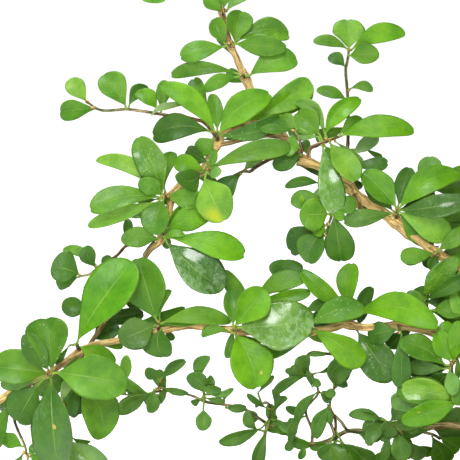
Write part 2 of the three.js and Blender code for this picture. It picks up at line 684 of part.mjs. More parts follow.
    stem: [
      [29, 18, 1], [27.4, 15, 4], [28.5, 10, 6], [30.5, 5.3, 6.5], [29.6, 1.8, 6], [28.8, -1.2, 5.6],
    ],
    radii: [0.65, 0.4],
    leaves: [
      [26.7, 14, 16.5, 12.8, 3, 1], [28.8, 7.4, 18.6, 9, 5.5, 0], [29.3, 8.4, 26, 13.4, 3, 3],
      [29.4, 4.8, 21, 4.5, 6.5, 2], [28.8, 1.4, 24, 1, 4.5, 3], [31, 5.8, 37.5, 8, 3.5, 1],
      [28.2, -0.6, 24.7, -10.6, 9, 2], [27.6, 0.2, 18.5, -7, 7, -3], [31.2, 4.4, 33.4, -10, 7.8, -2],
    ],
  },
  {
    name: "spray_limb_right",
    stem: [[49.8, 2.6, 1], [50, 4.6, 4], [50.3, 5.8, 5]],
    radii: [0.8, 0.6],
    leaves: [
      [49.7, 7, 40, 16.8, 8, 2], [50.5, 7.4, 53, 19.3, 6, -2], [50.8, 6.4, 69, 17, 8, 2],
      [51, 5.9, 72, 9.4, 7, 5], [50.8, 5.3, 66, -2, 8, 3], [48.8, 5, 35, 3, 4, 4],
    ],
  },
  {
    name: "spray_limb_back",
    stem: [[60.8, -6.2, 3], [60.6, -3.4, -0.6], [60.4, 3, -3], [60, 12, -4]],
    radii: [0.7, 0.45],
    leaves: [
      [60.2, 13.6, 60, 22.2, 6.5, 0], [60.6, 13, 72, 18.6, 4.5, -2], [60.6, 4, 71.5, 2.4, 6, -2],
      [59.8, 7, 54.6, 12.6, 5, -2],
    ],
  },
  {
    name: "spray_limb_under",
    stem: [[62.4, -7.4, 3], [62.2, -7.2, 6], [62, -7, 7]],
    radii: [0.7, 0.55],
    leaves: [[62.6, -6, 71, 0.6, 5, 2], [61.2, -7, 51, -8.3, 5, 1], [61.8, -7.6, 59.8, -12.4, 4, 1]],
  },
  {
    name: "twig_right_rising",
    stem: [[61.4, -30.4, 2], [60.4, -26.6, 4], [59, -23, 4], [58, -21.4, 4]],
    radii: [0.7, 0.5],
    leaves: [
      [58, -20.6, 68.6, -8, 7, 2], [58.6, -20.8, 71, -13.4, 5, 5], [58.4, -22.2, 52.6, -18, 4, 1],
      [60.8, -24, 71, -23.2, 6, 2], [60.6, -25, 70.4, -18.4, 4, -2],
    ],
  },
  {
    name: "twig_right_drooping",
    stem: [[72, -32.6, 2], [69.8, -36, 5], [66.6, -40.2, 6], [67, -45, 6], [68.6, -50.4, 5.4]],
    radii: [0.75, 0.5],
    leaves: [
      [64.6, -40.6, 52, -34, 6, 2], [66, -39.4, 62.2, -29.5, 6.5, 2], [67, -39.4, 69, -27, 6, 4],
      [65.8, -42, 67, -49.6, 4.5, 4], [64.4, -41.6, 53.5, -41, 5, -3], [67.4, -49.6, 51.5, -47.4, 9, 2],
      [68, -51.6, 51.5, -57.4, 7.5, 2], [66.4, -51.4, 48, -52.4, 6, -5],
    ],
  },
  {
    name: "back_twig_left",
    stem: [[-7.6, -51.4, -45], [-7.8, -49, -43], [-8.2, -47, -42]],
    radii: [0.5, 0.35],
    leaves: [
      [-9, -46, -7, -38, 4, 0], [-7.4, -46.6, -5.6, -43.8, 3, 1], [-6, -49.4, 1, -47, 2.4, 0],
      [-8, -53.8, -8.3, -60.3, 5, 2], [-9, -51, -12, -51.4, 2, 2],
    ],
  },
  {
    name: "back_twig_left_end",
    stem: [[-21, -48.5, -45], [-21.2, -46.8, -43], [-21, -45.6, -42]],
    radii: [0.5, 0.35],
    leaves: [
      [-21.6, -44.6, -24.9, -41.8, 3.2, 1], [-20.6, -44.6, -13.6, -39.4, 3.2, 0],
      [-20, -47.4, -12.8, -48.4, 2.4, 2], [-23, -48, -24, -55, 4.4, 1], [-24, -49, -34, -55, 5, 3],
    ],
  },
  {
    name: "back_twig_middle",
    stem: [[11.6, -58.4, -45], [11.8, -56.4, -42.6], [12.4, -54, -41.6]],
    radii: [0.5, 0.35],
    leaves: [
      [12.8, -54, 12.6, -48, 3, 1], [11, -53.4, 5.6, -49.6, 2.6, 2], [11.2, -60, 8, -71, 5.4, 1],
      [9.4, -59.4, -3.2, -64, 4.6, 3], [13.4, -55, 18, -50, 3.6, -2], [13.6, -57, 20, -59, 4, 2],
    ],
  },
  {
    name: "back_twig_rising",
    stem: [
      [24.6, -64.2, -45], [24.6, -60, -42], [22.8, -54, -41], [26.4, -48.8, -41], [24.6, -43.4, -41],
    ],
    radii: [0.6, 0.35],
    leaves: [
      [23.4, -43.6, 12.8, -49.4, 3.6, 2], [23.4, -42.4, 20, -38.4, 4, 1],
      [22.4, -43, 16.4, -42, 2.4, -2], [25, -44.4, 27.4, -46.8, 3, 2], [22.4, -54, 16.4, -53.3, 3, 2],
      [22, -56, 18, -63.6, 4.4, 2], [25.4, -43, 32, -37.4, 3, -1], [28, -49, 32, -49.6, 3.2, 0],
    ],
  },
  {
    name: "back_twig_right",
    stem: [[31.6, -62.2, -45], [31.6, -57, -42], [30, -52.6, -41], [31.2, -47.4, -41]],
    radii: [0.6, 0.35],
    leaves: [
      [31.2, -46.6, 31.6, -38, 5.4, 1], [32, -47, 36.4, -41, 5, 2], [29.4, -53, 25, -63.6, 6.4, 2],
      [30, -64.4, 34, -70, 6, 2], [34, -64, 42, -70, 7, 2], [33, -62.6, 38.6, -68.6, 5, -2],
    ],
  },
  {
    name: "back_twig_far_right",
    stem: [[50, -60.8, -45], [49, -59, -42.6], [47.4, -57.6, -42]],
    radii: [0.6, 0.4],
    leaves: [
      [45.6, -57, 36, -55, 5, 2], [48, -57.4, 50, -50.4, 6, 1], [48.4, -58.6, 57, -58, 5, 3],
      [47, -58.8, 41, -64.4, 5.4, 3], [49.6, -60.6, 52, -68.6, 7, 3], [51.4, -61, 60, -66.4, 5, -2],
      [47.8, -60.4, 46, -70, 4, 0],
    ],
  },
];

// The crown past the view: leafy stems at these shares of each limb
const STEM_SHARES = {
  right_low: [0.5, 1],
  right_back: [0.5, 1],
  front: [0.55, 1],
  right_mid: [0.5, 1],
  back: [0.55, 1],
  upper_left: [0.6, 1],
  upper_right: [1],
  upper_front: [1],
};
const STEM_LENGTH = [28, 36];
const STEM_RADII = [1, 0.6];
const STEM_STOPS = [[0, 0], [0.35, 0], [0.7, 0.5], [1, 1]];
const STEM_RISE = [0.25, 0.5];
const STEM_BEND = { sideways: [-3, 3], up: [2, 5] };
const SIDE_STEM = { along: 0.35, sideways: 0.85 };
const END_STEM = { along: 1, sideways: 0 };
const SIDEWAYS_SPREAD = 0.15;
const APEX_STOPS = [-2, 11, 24];

// Their leaves stand in pairs, from this share of the stem to its end, each pair square to the one before
const STEM_PAIRS = 5;
const FIRST_PAIR = 0.25;
const LAST_PAIR = 0.97;
const PAIR_LEAF_LENGTH = [13, 18];
const PAIR_LEAF_SHAPE = [0.42, 0.52];
const PAIR_ROLL = 0.3;
const PAIR_SWERVE = 0.4;
const PAIR_LEAN = 0.55;
const LAST_PAIR_LEAN = 1.1;
const PAIR_RISE = 0.15;
const PAIR_TURNS = [0, 0.3, -0.3, 0.6, -0.6, 0.9, -0.9, 1.2];
const PETIOLE_LENGTH = 2;
const CROWN_CENTRE = vec(25, 0, 140);
const SKYWARD = 0.9;
const OUTWARD = 0.5;

// Leaf blades: an egg-shaped outline, broadest past the middle, bowed along its length and dished across.
// A station is [share of the length, share of the half width]. Small and outer leaves are plainer.
const FULL_STATIONS = [[0.34, 0.68], [0.72, 1], [0.96, 0.46]];
const PLAIN_STATIONS = [[0.45, 0.92], [0.88, 0.74]];
const SMALL_LEAF = 9;
const BLADE_HEART = 0.56;
const BLADE_BOW = 0.09;
const BLADE_DISH = 0.16;

function bladeFrame({ collar, tip, facing, roll }) {
  const along = tip.clone().sub(collar).normalize();
  const normal = facing.clone().addScaledVector(along, -facing.dot(along)).normalize();
  normal.applyAxisAngle(along, roll);
  return { normal, across: along.clone().cross(normal) };
}

// The points round a blade's rim, foot first, and its heart. They lie midway between its two faces.
function bladeOutline({ root, collar, tip, width, outline }, { normal, across }, start) {
  const length = collar.distanceTo(tip);
  const halfWidth = width / 2;
  const at = (share, sideways) => {
    const lift = length * BLADE_BOW * 4 * share * (1 - share);
    const dish = Math.abs(sideways) * halfWidth * BLADE_DISH;
    return collar
      .clone()
      .lerp(tip, share)
      .addScaledVector(across, sideways * halfWidth)
      .addScaledVector(normal, lift + dish);
  };
  const foot = start > 0 ? at(start, 0) : root;
  const rim = [-1, 1].map((hand) => foot.clone().addScaledVector(across, hand * PETIOLE_HALF_WIDTH));
  const stations = outline.filter(([share]) => share > start);
  for (const [share, spread] of stations) rim.push(at(share, spread));
  for (const [share, spread] of [...stations].reverse()) rim.push(at(share, -spread));
  return { rim, heart: at(BLADE_HEART, 0) };
}

// Both faces of a blade as fans round its heart, and the wall round its rim, which may leave the foot open.
// Upper and lower are the numbers of the points of each face, rim first and heart last.
function bladeFaces(upper, lower, openFoot) {
  const count = upper.length - 1;
  const faces = [];
  for (let i = 0; i < count; i++) {
    const next = (i + 1) % count;
    faces.push([upper[i], upper[next], upper[count]], [lower[next], lower[i], lower[count]]);
    if (i === 0 && openFoot) continue;
    faces.push([upper[next], upper[i], lower[i]], [upper[next], lower[i], lower[next]]);
  }
  return faces;
}

const numbersFrom = (first, count) => Array.from({ length: count }, (_, i) => first + i);

// A blade as a solid of its own, whole or from a share of its length outwards
function bladeSolid(leaf, thickness, start) {
  const frame = bladeFrame(leaf);
  const { rim, heart } = bladeOutline(leaf, frame, start);
  const face = [...rim, heart];
  const shifted = (by) => face.map((point) => point.clone().addScaledVector(frame.normal, by));
  const points = [...shifted(thickness / 2), ...shifted(-thickness / 2)];
  const faces = bladeFaces(numbersFrom(0, face.length), numbersFrom(face.length, face.length), false);
  return solidOf(surface(points, faces));
}

// Stems: four flat sides, and a leaf grows out of one side of a short length of stem, or out of its end.
// A leaf takes a side or the end only if that looks well enough its way and lies near enough to its place.
const STEM_SIDES = 4;
const NODE_LENGTH = 1.2;
const FIRST_NODE = 2.9;
const NODE_REACH = 4.5;
const SIDE_AGREEMENT = 0.32;
const END_AGREEMENT = 0.7;
const DISTANCE_COST = 0.5;
const TURN_COST = 2;
const BEND_MARGIN = 0.4;
const FLAT_SIDE_SHARE = Math.cos(Math.PI / STEM_SIDES);
const LAST_JOIN = 0.96;
const HEADING_SHARE = 0.4;

function stemOf(stops, radii) {
  const legs = [];
  let total = 0;
  let side = null;
  for (let i = 0; i + 1 < stops.length; i++) {
    const tangent = stops[i + 1].clone().sub(stops[i]);
    const length = tangent.length();
    tangent.normalize();
    side = (side ?? firstSide(tangent)).clone();
    side.addScaledVector(tangent, -side.dot(tangent)).normalize();
    legs.push({ from: stops[i], tangent, side, start: total });
    total += length;
  }
  const frameAt = (distance) => {
    const leg = legs.findLast(({ start }) => start <= distance);
    const before = legs[legs.indexOf(leg) - 1];
    const tangent = leg.tangent.clone();
    if (before && distance - leg.start < SLIVER) tangent.add(before.tangent).normalize();
    const across = leg.side.clone();
    across.addScaledVector(tangent, -across.dot(tangent)).normalize();
    const centre = leg.from.clone().addScaledVector(leg.tangent, distance - leg.start);
    const radius = lerpEnds(radii, distance / total);
    return { centre, tangent, side: across, other: tangent.clone().cross(across), radius };
  };
  const bends = legs.slice(1).map(({ start }) => start);
  return { bends, total, frameAt, firstNode: Math.min(FIRST_NODE, total / 2) };
}

// The way that each flat side of a stem looks, in the order of its corners
const sideLooks = ({ side, other }) => [other, side.clone().negate(), other.clone().negate(), side];

function stemRing({ centre, side, other, radius }, grow = 0) {
  return ringOfPoints(centre, side, other, radius + grow, STEM_SIDES, 0.5);
}

// The stem's end as a leaf's seat, if it is free and looks the leaf's way
function endSeat(stem, { distance, towards }) {
  const end = stem.frameAt(stem.total);
  const heading = towards.clone().sub(end.centre).normalize();
  const suits = stem.total - distance < NODE_REACH && end.tangent.dot(heading) > END_AGREEMENT;
  return suits ? { end: true, point: end.centre } : null;
}

// The free side of a node that lies nearest to a leaf's place and best looks its way
function sideSeat(stem, nodes, { distance, towards }) {
  let best = null;
  for (const node of nodes) {
    const middle = node.from + NODE_LENGTH / 2;
    const frame = stem.frameAt(middle);
    const heading = towards.clone().sub(frame.centre).normalize();
    const away = Math.abs(middle - distance);
    sideLooks(frame).forEach((look, side) => {
      const agreement = look.dot(heading);
      if (node.taken.has(side) || agreement < SIDE_AGREEMENT || away > NODE_REACH) return;
      const cost = away * DISTANCE_COST + (1 - agreement) * TURN_COST;
      const point = frame.centre.clone().addScaledVector(look, frame.radius * FLAT_SIDE_SHARE);
      if (!best || cost < best.cost) best = { node, side, cost, point };
    });
  }
  return best;
}

// Where each leaf grows: from the stem's end, a side of a node, or neither
function seatLeaves(stem, wishes) {
  const count = Math.floor((stem.total - stem.firstNode) / NODE_LENGTH + SLIVER);
  const nodes = numbersFrom(0, count).map((i) => ({
    from: stem.firstNode + i * NODE_LENGTH,
    taken: new Set(),
  }));
  let endTaken = false;
  return wishes.map((wish) => {
    const end = endTaken ? null : endSeat(stem, wish);
    if (end) endTaken = true;
    const seat = end ?? sideSeat(stem, nodes, wish);
    seat?.node?.taken.add(seat.side);
    return seat;
  });
}

// A stem with its leaves as one skin: where a leaf grows, its foot takes the place of the stem's side or end
function sprayGeometry(stem, grown) {
  const nodes = grown.filter(({ seat }) => seat.node).map(({ seat }) => seat.node.from);
  const bends = stem.bends.filter(
    (bend) => !nodes.some((from) => bend > from - BEND_MARGIN && bend < from + NODE_LENGTH + BEND_MARGIN),
  );
  const marks = [0, ...bends, ...nodes.flatMap((from) => [from, from + NODE_LENGTH]), stem.total];
  marks.sort((a, b) => a - b);
  const distances = marks.filter((mark, i) => i === 0 || mark - marks[i - 1] > SAME_POINT);
  const points = distances.flatMap((distance) => stemRing(stem.frameAt(distance)));
  const corner = (ring, i) => ring * STEM_SIDES + (i % STEM_SIDES);
  const quadFaces = ([a, b, c, d]) => [[a, b, c], [a, c, d]];
  const faces = quadFaces([3, 2, 1, 0]);
  const leafAt = (distance, i) =>
    grown.find(({ seat }) => seat.side === i && Math.abs(seat.node.from - distance) < SAME_POINT);
  const closeOrGrow = (leaf, quad) => {
    if (leaf) growFrom(quad, leaf, points, faces);
    else faces.push(...quadFaces(quad));
  };
  const last = distances.length - 1;
  for (let ring = 0; ring < last; ring++) {
    for (let i = 0; i < STEM_SIDES; i++) {
      const quad = [corner(ring, i), corner(ring, i + 1), corner(ring + 1, i + 1), corner(ring + 1, i)];
      closeOrGrow(leafAt(distances[ring], i), quad);
    }
  }
  closeOrGrow(grown.find(({ seat }) => seat.end), numbersFrom(corner(last, 0), STEM_SIDES));
  return surface(points, faces);
}

// A blade whose foot is the four points of a quad, matched to it with the least twist
function growFrom(quad, leaf, points, faces) {
  const frame = bladeFrame(leaf);
  const { rim, heart } = bladeOutline(leaf, frame, 0);
  const half = LEAF_THICKNESS / 2;
  const moved = (point, hand) => point.clone().addScaledVector(frame.normal, hand * half);
  const foot = [moved(rim[1], 1), moved(rim[1], -1), moved(rim[0], -1), moved(rim[0], 1)];
  const turns = numbersFrom(0, STEM_SIDES).map((turn) => [...quad.slice(turn), ...quad.slice(0, turn)]);
  const misfit = (turned) => foot.reduce((sum, point, i) => sum + point.distanceTo(points[turned[i]]), 0);
  const [upperRight, lowerRight, lowerLeft, upperLeft] = turns.reduce((best, turned) =>
    misfit(turned) < misfit(best) ? turned : best,
  );
  const outer = [...rim.slice(2), heart];
  const first = points.length;
  points.push(...outer.map((point) => moved(point, 1)), ...outer.map((point) => moved(point, -1)));
  const upper = [upperLeft, upperRight, ...numbersFrom(first, outer.length)];
  const lower = [lowerLeft, lowerRight, ...numbersFrom(first + outer.length, outer.length)];
  faces.push(...bladeFaces(upper, lower, true));
}

// Room around each piece: solids already placed, with the spray that owns each
const placed = [];

function boxesMeet(a, b) {
  return [0, 1, 2].every((axis) => a.min[axis] < b.max[axis] && b.min[axis] < a.max[axis]);
}

function place(owner, solid, kind) {
  placed.push({ owner, solid, kind, box: solid.boundingBox() });
}

function meets(solid, filter) {
  const box = solid.boundingBox();
  return placed.some(
    (other) => filter(other) && boxesMeet(box, other.box) && solid.intersect(other.solid).volume() > SLIVER,
  );
}

// A leaf is clear when its whole blade misses the other sprays and its outer blade its own and the wood
const OUTER_BLADE = 0.3;

function isClear(owner, leaf) {
  const outer = bladeSolid(leaf, LEAF_THICKNESS + LEAF_CLEARANCE, OUTER_BLADE);
  const own = (other) => other.owner === owner && other.kind === "leaf";
  if (meets(outer, (other) => own(other) || other.kind === "wood")) return false;
  const whole = bladeSolid(leaf, LEAF_THICKNESS + LEAF_CLEARANCE, 0);
  return !meets(whole, (other) => other.owner !== owner && other.kind !== "wood");
}

const BENDS = [0, 2.5, -2.5, 5, -5, 7.5, -7.5, 10, -10, 13, -13];
const ROLL_SPREAD = 0.42;
const EDGE_ON_WIDTH = 2;
const EDGE_ON_ROLL = 1.1;
const COLLAR_LIFT = 0.1;

// The place along a stem that lies nearest to a leaf's base in the view
const SEARCH_STEPS = 60;
function nearestInView(stem, x0, z0) {
  let best = { miss: Infinity };
  for (let i = 0; i <= SEARCH_STEPS; i++) {
    const distance = Math.max((stem.total * i) / SEARCH_STEPS, stem.firstNode);
    const [x, z, depth] = viewReading(stem.frameAt(distance).centre);
    const miss = Math.hypot(x - x0, z - z0);
    if (miss < best.miss) best = { miss, distance, depth };
  }
  return best;
}

// The ways in which each leaf of a front spray can stand, straight first, then bent nearer or further
function viewLeaves(readings, stem, random) {
  return readings.map(([x0, z0, x1, z1, apparentWidth, lift]) => {
    const { distance, depth } = nearestInView(stem, x0, z0);
    const turned = random(-ROLL_SPREAD, ROLL_SPREAD);
    const roll = apparentWidth < EDGE_ON_WIDTH ? EDGE_ON_ROLL : turned;
    const width = apparentWidth / Math.cos(roll);
    const collar = inView([x0, z0, depth + lift * COLLAR_LIFT]);
    const outline = Math.hypot(x1 - x0, z1 - z0) < SMALL_LEAF ? PLAIN_STATIONS : FULL_STATIONS;
    const ways = BENDS.map((bend) => {
      const tip = inView([x1, z1, depth + lift + bend]);
      return { collar, tip, width, facing: TO_VIEWER, roll, outline };
    });
    return { distance, ways };
  });
}

// The view window is left to the front sprays, and no leaf past it may reach in
const VIEW_MARGIN = 1.03;
const insideView = (point) => {
  const [across, up] = viewReading(point);
  return Math.max(Math.abs(across), Math.abs(up)) < VIEW_HALF * VIEW_MARGIN;
};

// The ways in which each leaf of an outer stem can stand, turned up or down as needed
function pairedLeaves(stem, random) {
  const leaves = [];
  for (let pair = 0; pair < STEM_PAIRS; pair++) {
    const distance = stem.total * lerpEnds([FIRST_PAIR, LAST_PAIR], pair / (STEM_PAIRS - 1));
    const { centre, tangent, side, other } = stem.frameAt(distance);
    const outward = centre.clone().sub(CROWN_CENTRE).normalize();
    const facing = UP.clone().multiplyScalar(SKYWARD).addScaledVector(outward, OUTWARD).normalize();
    const lean = pair === STEM_PAIRS - 1 ? LAST_PAIR_LEAN : PAIR_LEAN;
    for (const hand of [-1, 1]) {
      const length = random(...PAIR_LEAF_LENGTH);
      const width = length * random(...PAIR_LEAF_SHAPE);
      const roll = random(-PAIR_ROLL, PAIR_ROLL);
      const spread = (pair % 2 ? side : other).clone().multiplyScalar(hand);
      spread.applyAxisAngle(tangent, random(-PAIR_SWERVE, PAIR_SWERVE));
      const ways = PAIR_TURNS.map((turn) => {
        const heading = spread.clone().addScaledVector(tangent, lean).addScaledVector(UP, PAIR_RISE + turn);
        heading.normalize();
        const collar = centre.clone().addScaledVector(heading, PETIOLE_LENGTH);
        const tip = collar.clone().addScaledVector(heading, length);
        return { collar, tip, width, facing, roll, outline: PLAIN_STATIONS };
      });
      leaves.push({ distance, ways: ways.filter((way) => !insideView(way.collar) && !insideView(way.tip)) });
    }
  }
  return leaves.filter(({ ways }) => ways.length > 0);
}

// Wood: trunk, surface roots, limbs and branches, grown by a margin for what has to stay clear of it
const asPoints = (path) => path.map(([x, y, z]) => vec(x, y, z));
const TRUNK_SIDES = 8;
const ROOT_SIDES = 6;
const THICK_LIMB = { radius: 2, sides: 6 };
const THIN_LIMB_SIDES = 5;

// Each root runs from inside the trunk down to below the soil: its share of the reach, height and thickness
const ROOT_STOPS = [[0.06, 15, 1], [0.3, 7, 1], [0.6, 2.4, 0.75], [1, -5, 0.4]];

function rootFlare(grow) {
  const [baseX, baseY, baseZ] = TRUNK.path[1];
  return ROOTS.map(({ heading, reach, thick }) => {
    const turn = THREE.MathUtils.degToRad(heading);
    const path = ROOT_STOPS.map(([share, rise]) =>
      vec(baseX + reach * share * Math.cos(turn), baseY + reach * share * Math.sin(turn), baseZ + rise),
    );
    const radii = ROOT_STOPS.map(([, , thickness]) => thick * thickness + grow);
    return taperedTube(path, radii, ROOT_SIDES);
  });
}

function trunkSolid(grow) {
  const radii = TRUNK.radii.map((radius) => radius + grow);
  const trunk = taperedTube(asPoints(TRUNK.path), radii, TRUNK_SIDES);
  return rootFlare(grow).reduce((body, root) => body.add(root), trunk);
}

function limbSolids(grow) {
  const outer = OUTER_LIMBS.map(({ path, radii }) => ({
    stops: asPoints(path),
    radii,
    sides: THIN_LIMB_SIDES,
  }));
  const front = VIEW_LIMBS.map(({ from, path, radii }) => ({
    stops: [...asPoints(from ? [from] : []), ...path.map(inView)],
    radii,
    sides: radii[0] > THICK_LIMB.radius ? THICK_LIMB.sides : THIN_LIMB_SIDES,
  }));
  return [...outer, ...front].map(({ stops, radii, sides }) =>
    taperedTube(stops, radii.map((radius) => radius + grow), sides),
  );
}

const woodSolid = (grow) => limbSolids(grow).reduce((body, limb) => body.add(limb), trunkSolid(grow));

// Outer stems leave their limb to alternate sides and rise outwards; the last one carries the limb on
function outerStem(limb, share, index, random) {
  const { point: start, tangent } = onPath(asPoints(limb.path), share);
  const side = tangent.clone().cross(UP).normalize().multiplyScalar(index % 2 ? 1 : -1);
  const { along, sideways } = share === 1 ? END_STEM : SIDE_STEM;
  const heading = tangent
    .clone()
    .multiplyScalar(along)
    .addScaledVector(side, sideways + random(-SIDEWAYS_SPREAD, SIDEWAYS_SPREAD))
    .addScaledVector(UP, random(...STEM_RISE))
    .normalize();
  const length = random(...STEM_LENGTH);
  const bend = side.clone().multiplyScalar(random(...STEM_BEND.sideways));
  bend.addScaledVector(UP, random(...STEM_BEND.up));
  return STEM_STOPS.map(([reach, bent]) =>
    start.clone().addScaledVector(heading, length * reach).addScaledVector(bend, bent),
  );
}

function allSprays(random) {
  const front = VIEW_SPRAYS.map(({ name, stem: readings, radii, leaves }) => {
    const stem = stemOf(readings.map(inView), radii);
    return { name, stem, leaves: viewLeaves(leaves, stem, random) };
  });
  const outerSpray = (name, stops) => {
    const stem = stemOf(stops, STEM_RADII);
    return { name, stem, leaves: pairedLeaves(stem, random) };
  };
  const outer = OUTER_LIMBS.flatMap((limb) =>
    STEM_SHARES[limb.name].map((share, index) =>
      outerSpray(`stem_${limb.name}_${index + 1}`, outerStem(limb, share, index, random)),
    ),
  );
  const [low, high] = asPoints(TRUNK.path.slice(-2));
  const rise = high.clone().sub(low).normalize();
  const apexStops = APEX_STOPS.map((distance) => high.clone().addScaledVector(rise, distance));
  return [...front, ...outer, outerSpray("stem_apex", apexStops)];
}

// A stem as a plain tube, grown by the gap that other sprays keep from it
function stemRoom({ bends, total, frameAt }) {
  return loftedSolid([0, ...bends, total].map((distance) => stemRing(frameAt(distance), GAP)));
}

// The leaves of a spray that find room, each in the first way in which it is clear
function openLeaves({ name, stem, leaves }) {
  const wishes = leaves.map(({ distance, ways: [{ collar, tip }] }) => ({
    distance,
    towards: collar.clone().lerp(tip, HEADING_SHARE),
  }));
  const seats = seatLeaves(stem, wishes);
  const open = [];
  leaves.forEach(({ distance, ways }, i) => {
    const seat = seats[i];
    const root = seat ? seat.point : stem.frameAt(Math.min(distance, stem.total * LAST_JOIN)).centre;
    const leaf = ways.map((way) => ({ ...way, root, seat })).find((way) => isClear(name, way));
    if (!leaf) return;
    open.push(leaf);
    place(name, bladeSolid(leaf, LEAF_THICKNESS, 0), "leaf");
  });
  return open;
}

// Planting: the stems first, then every leaf in turn. A leaf without a seat of its own is joined on whole.
function growSprays(woodWithGap) {
  const sprays = allSprays(drawsFrom(TREE_SEED));
  place("wood", woodWithGap, "wood");
  for (const { name, stem } of sprays) place(name, stemRoom(stem), "stem");
  for (const spray of sprays) {
    const leaves = openLeaves(spray);
    const skin = solidOf(sprayGeometry(spray.stem, leaves.filter(({ seat }) => seat)));
    const whole = leaves
      .filter(({ seat }) => !seat)
      .reduce((body, leaf) => body.add(bladeSolid(leaf, LEAF_THICKNESS, 0)), skin);
    addNode(spray.name, largestBody(whole.subtract(woodWithGap)), foliage);
  }
}

addNode("tray", tray(), stoneware);
addNode("drain_screen_left", screen(-1), netting);
addNode("drain_screen_right", screen(1), netting);
addNode("soil", soil(trunkSolid(GAP)), earth);
addNode("trunk_and_limbs", woodSolid(0), bark);
growSprays(woodSolid(GAP));

export default part;
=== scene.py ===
"""Singapore holly bonsai: the leaves, twigs, bark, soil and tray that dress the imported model.
Lengths are in millimetres in the model's own frame, and become metres where a mesh is made."""
import math

import bpy
import numpy as np
from mathutils import Matrix, Vector, noise


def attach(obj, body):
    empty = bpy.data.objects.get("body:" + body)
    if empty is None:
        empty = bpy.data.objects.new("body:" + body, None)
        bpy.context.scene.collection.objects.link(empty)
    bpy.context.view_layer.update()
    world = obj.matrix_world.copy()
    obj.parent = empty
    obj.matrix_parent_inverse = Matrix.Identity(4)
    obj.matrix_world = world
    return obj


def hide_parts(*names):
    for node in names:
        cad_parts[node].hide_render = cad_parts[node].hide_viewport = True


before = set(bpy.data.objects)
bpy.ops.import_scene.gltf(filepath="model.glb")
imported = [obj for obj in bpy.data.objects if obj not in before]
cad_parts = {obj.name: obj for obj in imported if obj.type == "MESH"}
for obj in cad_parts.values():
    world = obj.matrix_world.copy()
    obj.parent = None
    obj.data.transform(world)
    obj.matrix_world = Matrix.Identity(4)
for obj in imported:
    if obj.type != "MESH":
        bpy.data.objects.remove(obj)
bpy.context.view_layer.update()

MM = 0.001
TURN = 6.28  # about a whole turn, for random phases
RIGHT = Vector((1, 0, 0))
UP = Vector((0, 0, 1))

# The picture's view: how far its camera stands, how much it sees across, and the point that it looks at
VIEW_DISTANCE = 500
VIEW_WIDTH = 138
SENSOR_WIDTH = 36
VIEW_PITCH = math.radians(12)
VIEW_CENTRE = Vector((-75, 0, 150))
VIEW_UP = Vector((0, math.sin(VIEW_PITCH), math.cos(VIEW_PITCH)))
TO_VIEWER = Vector((0, -math.cos(VIEW_PITCH), math.sin(VIEW_PITCH)))


def in_view(reading):
    """A reading [across, up, towards the viewer] as a point of the model."""
    across, up, towards = reading
    shrink = 1 - towards / VIEW_DISTANCE
    return VIEW_CENTRE + RIGHT * (across * shrink) + VIEW_UP * (up * shrink) + TO_VIEWER * towards


def view_reading(point):
    """A point of the model as a reading."""
    offset = point - VIEW_CENTRE
    towards = offset.dot(TO_VIEWER)
    shrink = 1 - towards / VIEW_DISTANCE
    return offset.dot(RIGHT) / shrink, offset.dot(VIEW_UP) / shrink, towards


def mix(a, b, share):
    return a + (b - a) * share


def within(value, low, high):
    return min(high, max(low, value))


DRAW_FACTOR, DRAW_STEP, DRAW_RANGE = 1664525, 1013904223, 2**32


def draws_from(seed):
    """Seeded draws between two values, the same on every run."""
    state = [seed]

    def draw(low, high):
        state[0] = (state[0] * DRAW_FACTOR + DRAW_STEP) % DRAW_RANGE
        return low + (high - low) * state[0] / DRAW_RANGE

    return draw


# Camera
lens = bpy.data.cameras.new("view")
lens.sensor_width = SENSOR_WIDTH
lens.lens = SENSOR_WIDTH * VIEW_DISTANCE / VIEW_WIDTH
lens.clip_start, lens.clip_end = 0.01, 50
camera = bpy.data.objects.new("view", lens)
camera.location = (VIEW_CENTRE + TO_VIEWER * VIEW_DISTANCE) * MM
camera.rotation_euler = (math.pi / 2 - VIEW_PITCH, 0, 0)
bpy.context.scene.collection.objects.link(camera)
bpy.context.scene.camera = camera
bpy.context.scene.view_settings.view_transform = "Standard"


# Finishes
class Value:
    """A socket of a finish. Sums and products of it add their Math nodes."""

    def __init__(self, finish, socket):
        self.finish, self.socket = finish, socket

    def math(self, operation, *inputs, clamp=False):
        settings = {"operation": operation, "use_clamp": clamp}
        return self.finish.node("ShaderNodeMath", settings, dict(enumerate(inputs)))

    def __add__(self, other):
        return self.math("ADD", self, other)

    def __sub__(self, other):
        return self.math("SUBTRACT", self, other)

    def __rsub__(self, other):
        return self.math("SUBTRACT", other, self)

    def __mul__(self, other):
        return self.math("MULTIPLY", self, other)

    def __pow__(self, other):
        return self.math("POWER", self, other)

    def __abs__(self):
        return self.math("ABSOLUTE", self)

    def clamped(self):
        return self.math("ADD", self, 0, clamp=True)

    __radd__ = __add__
    __rmul__ = __mul__


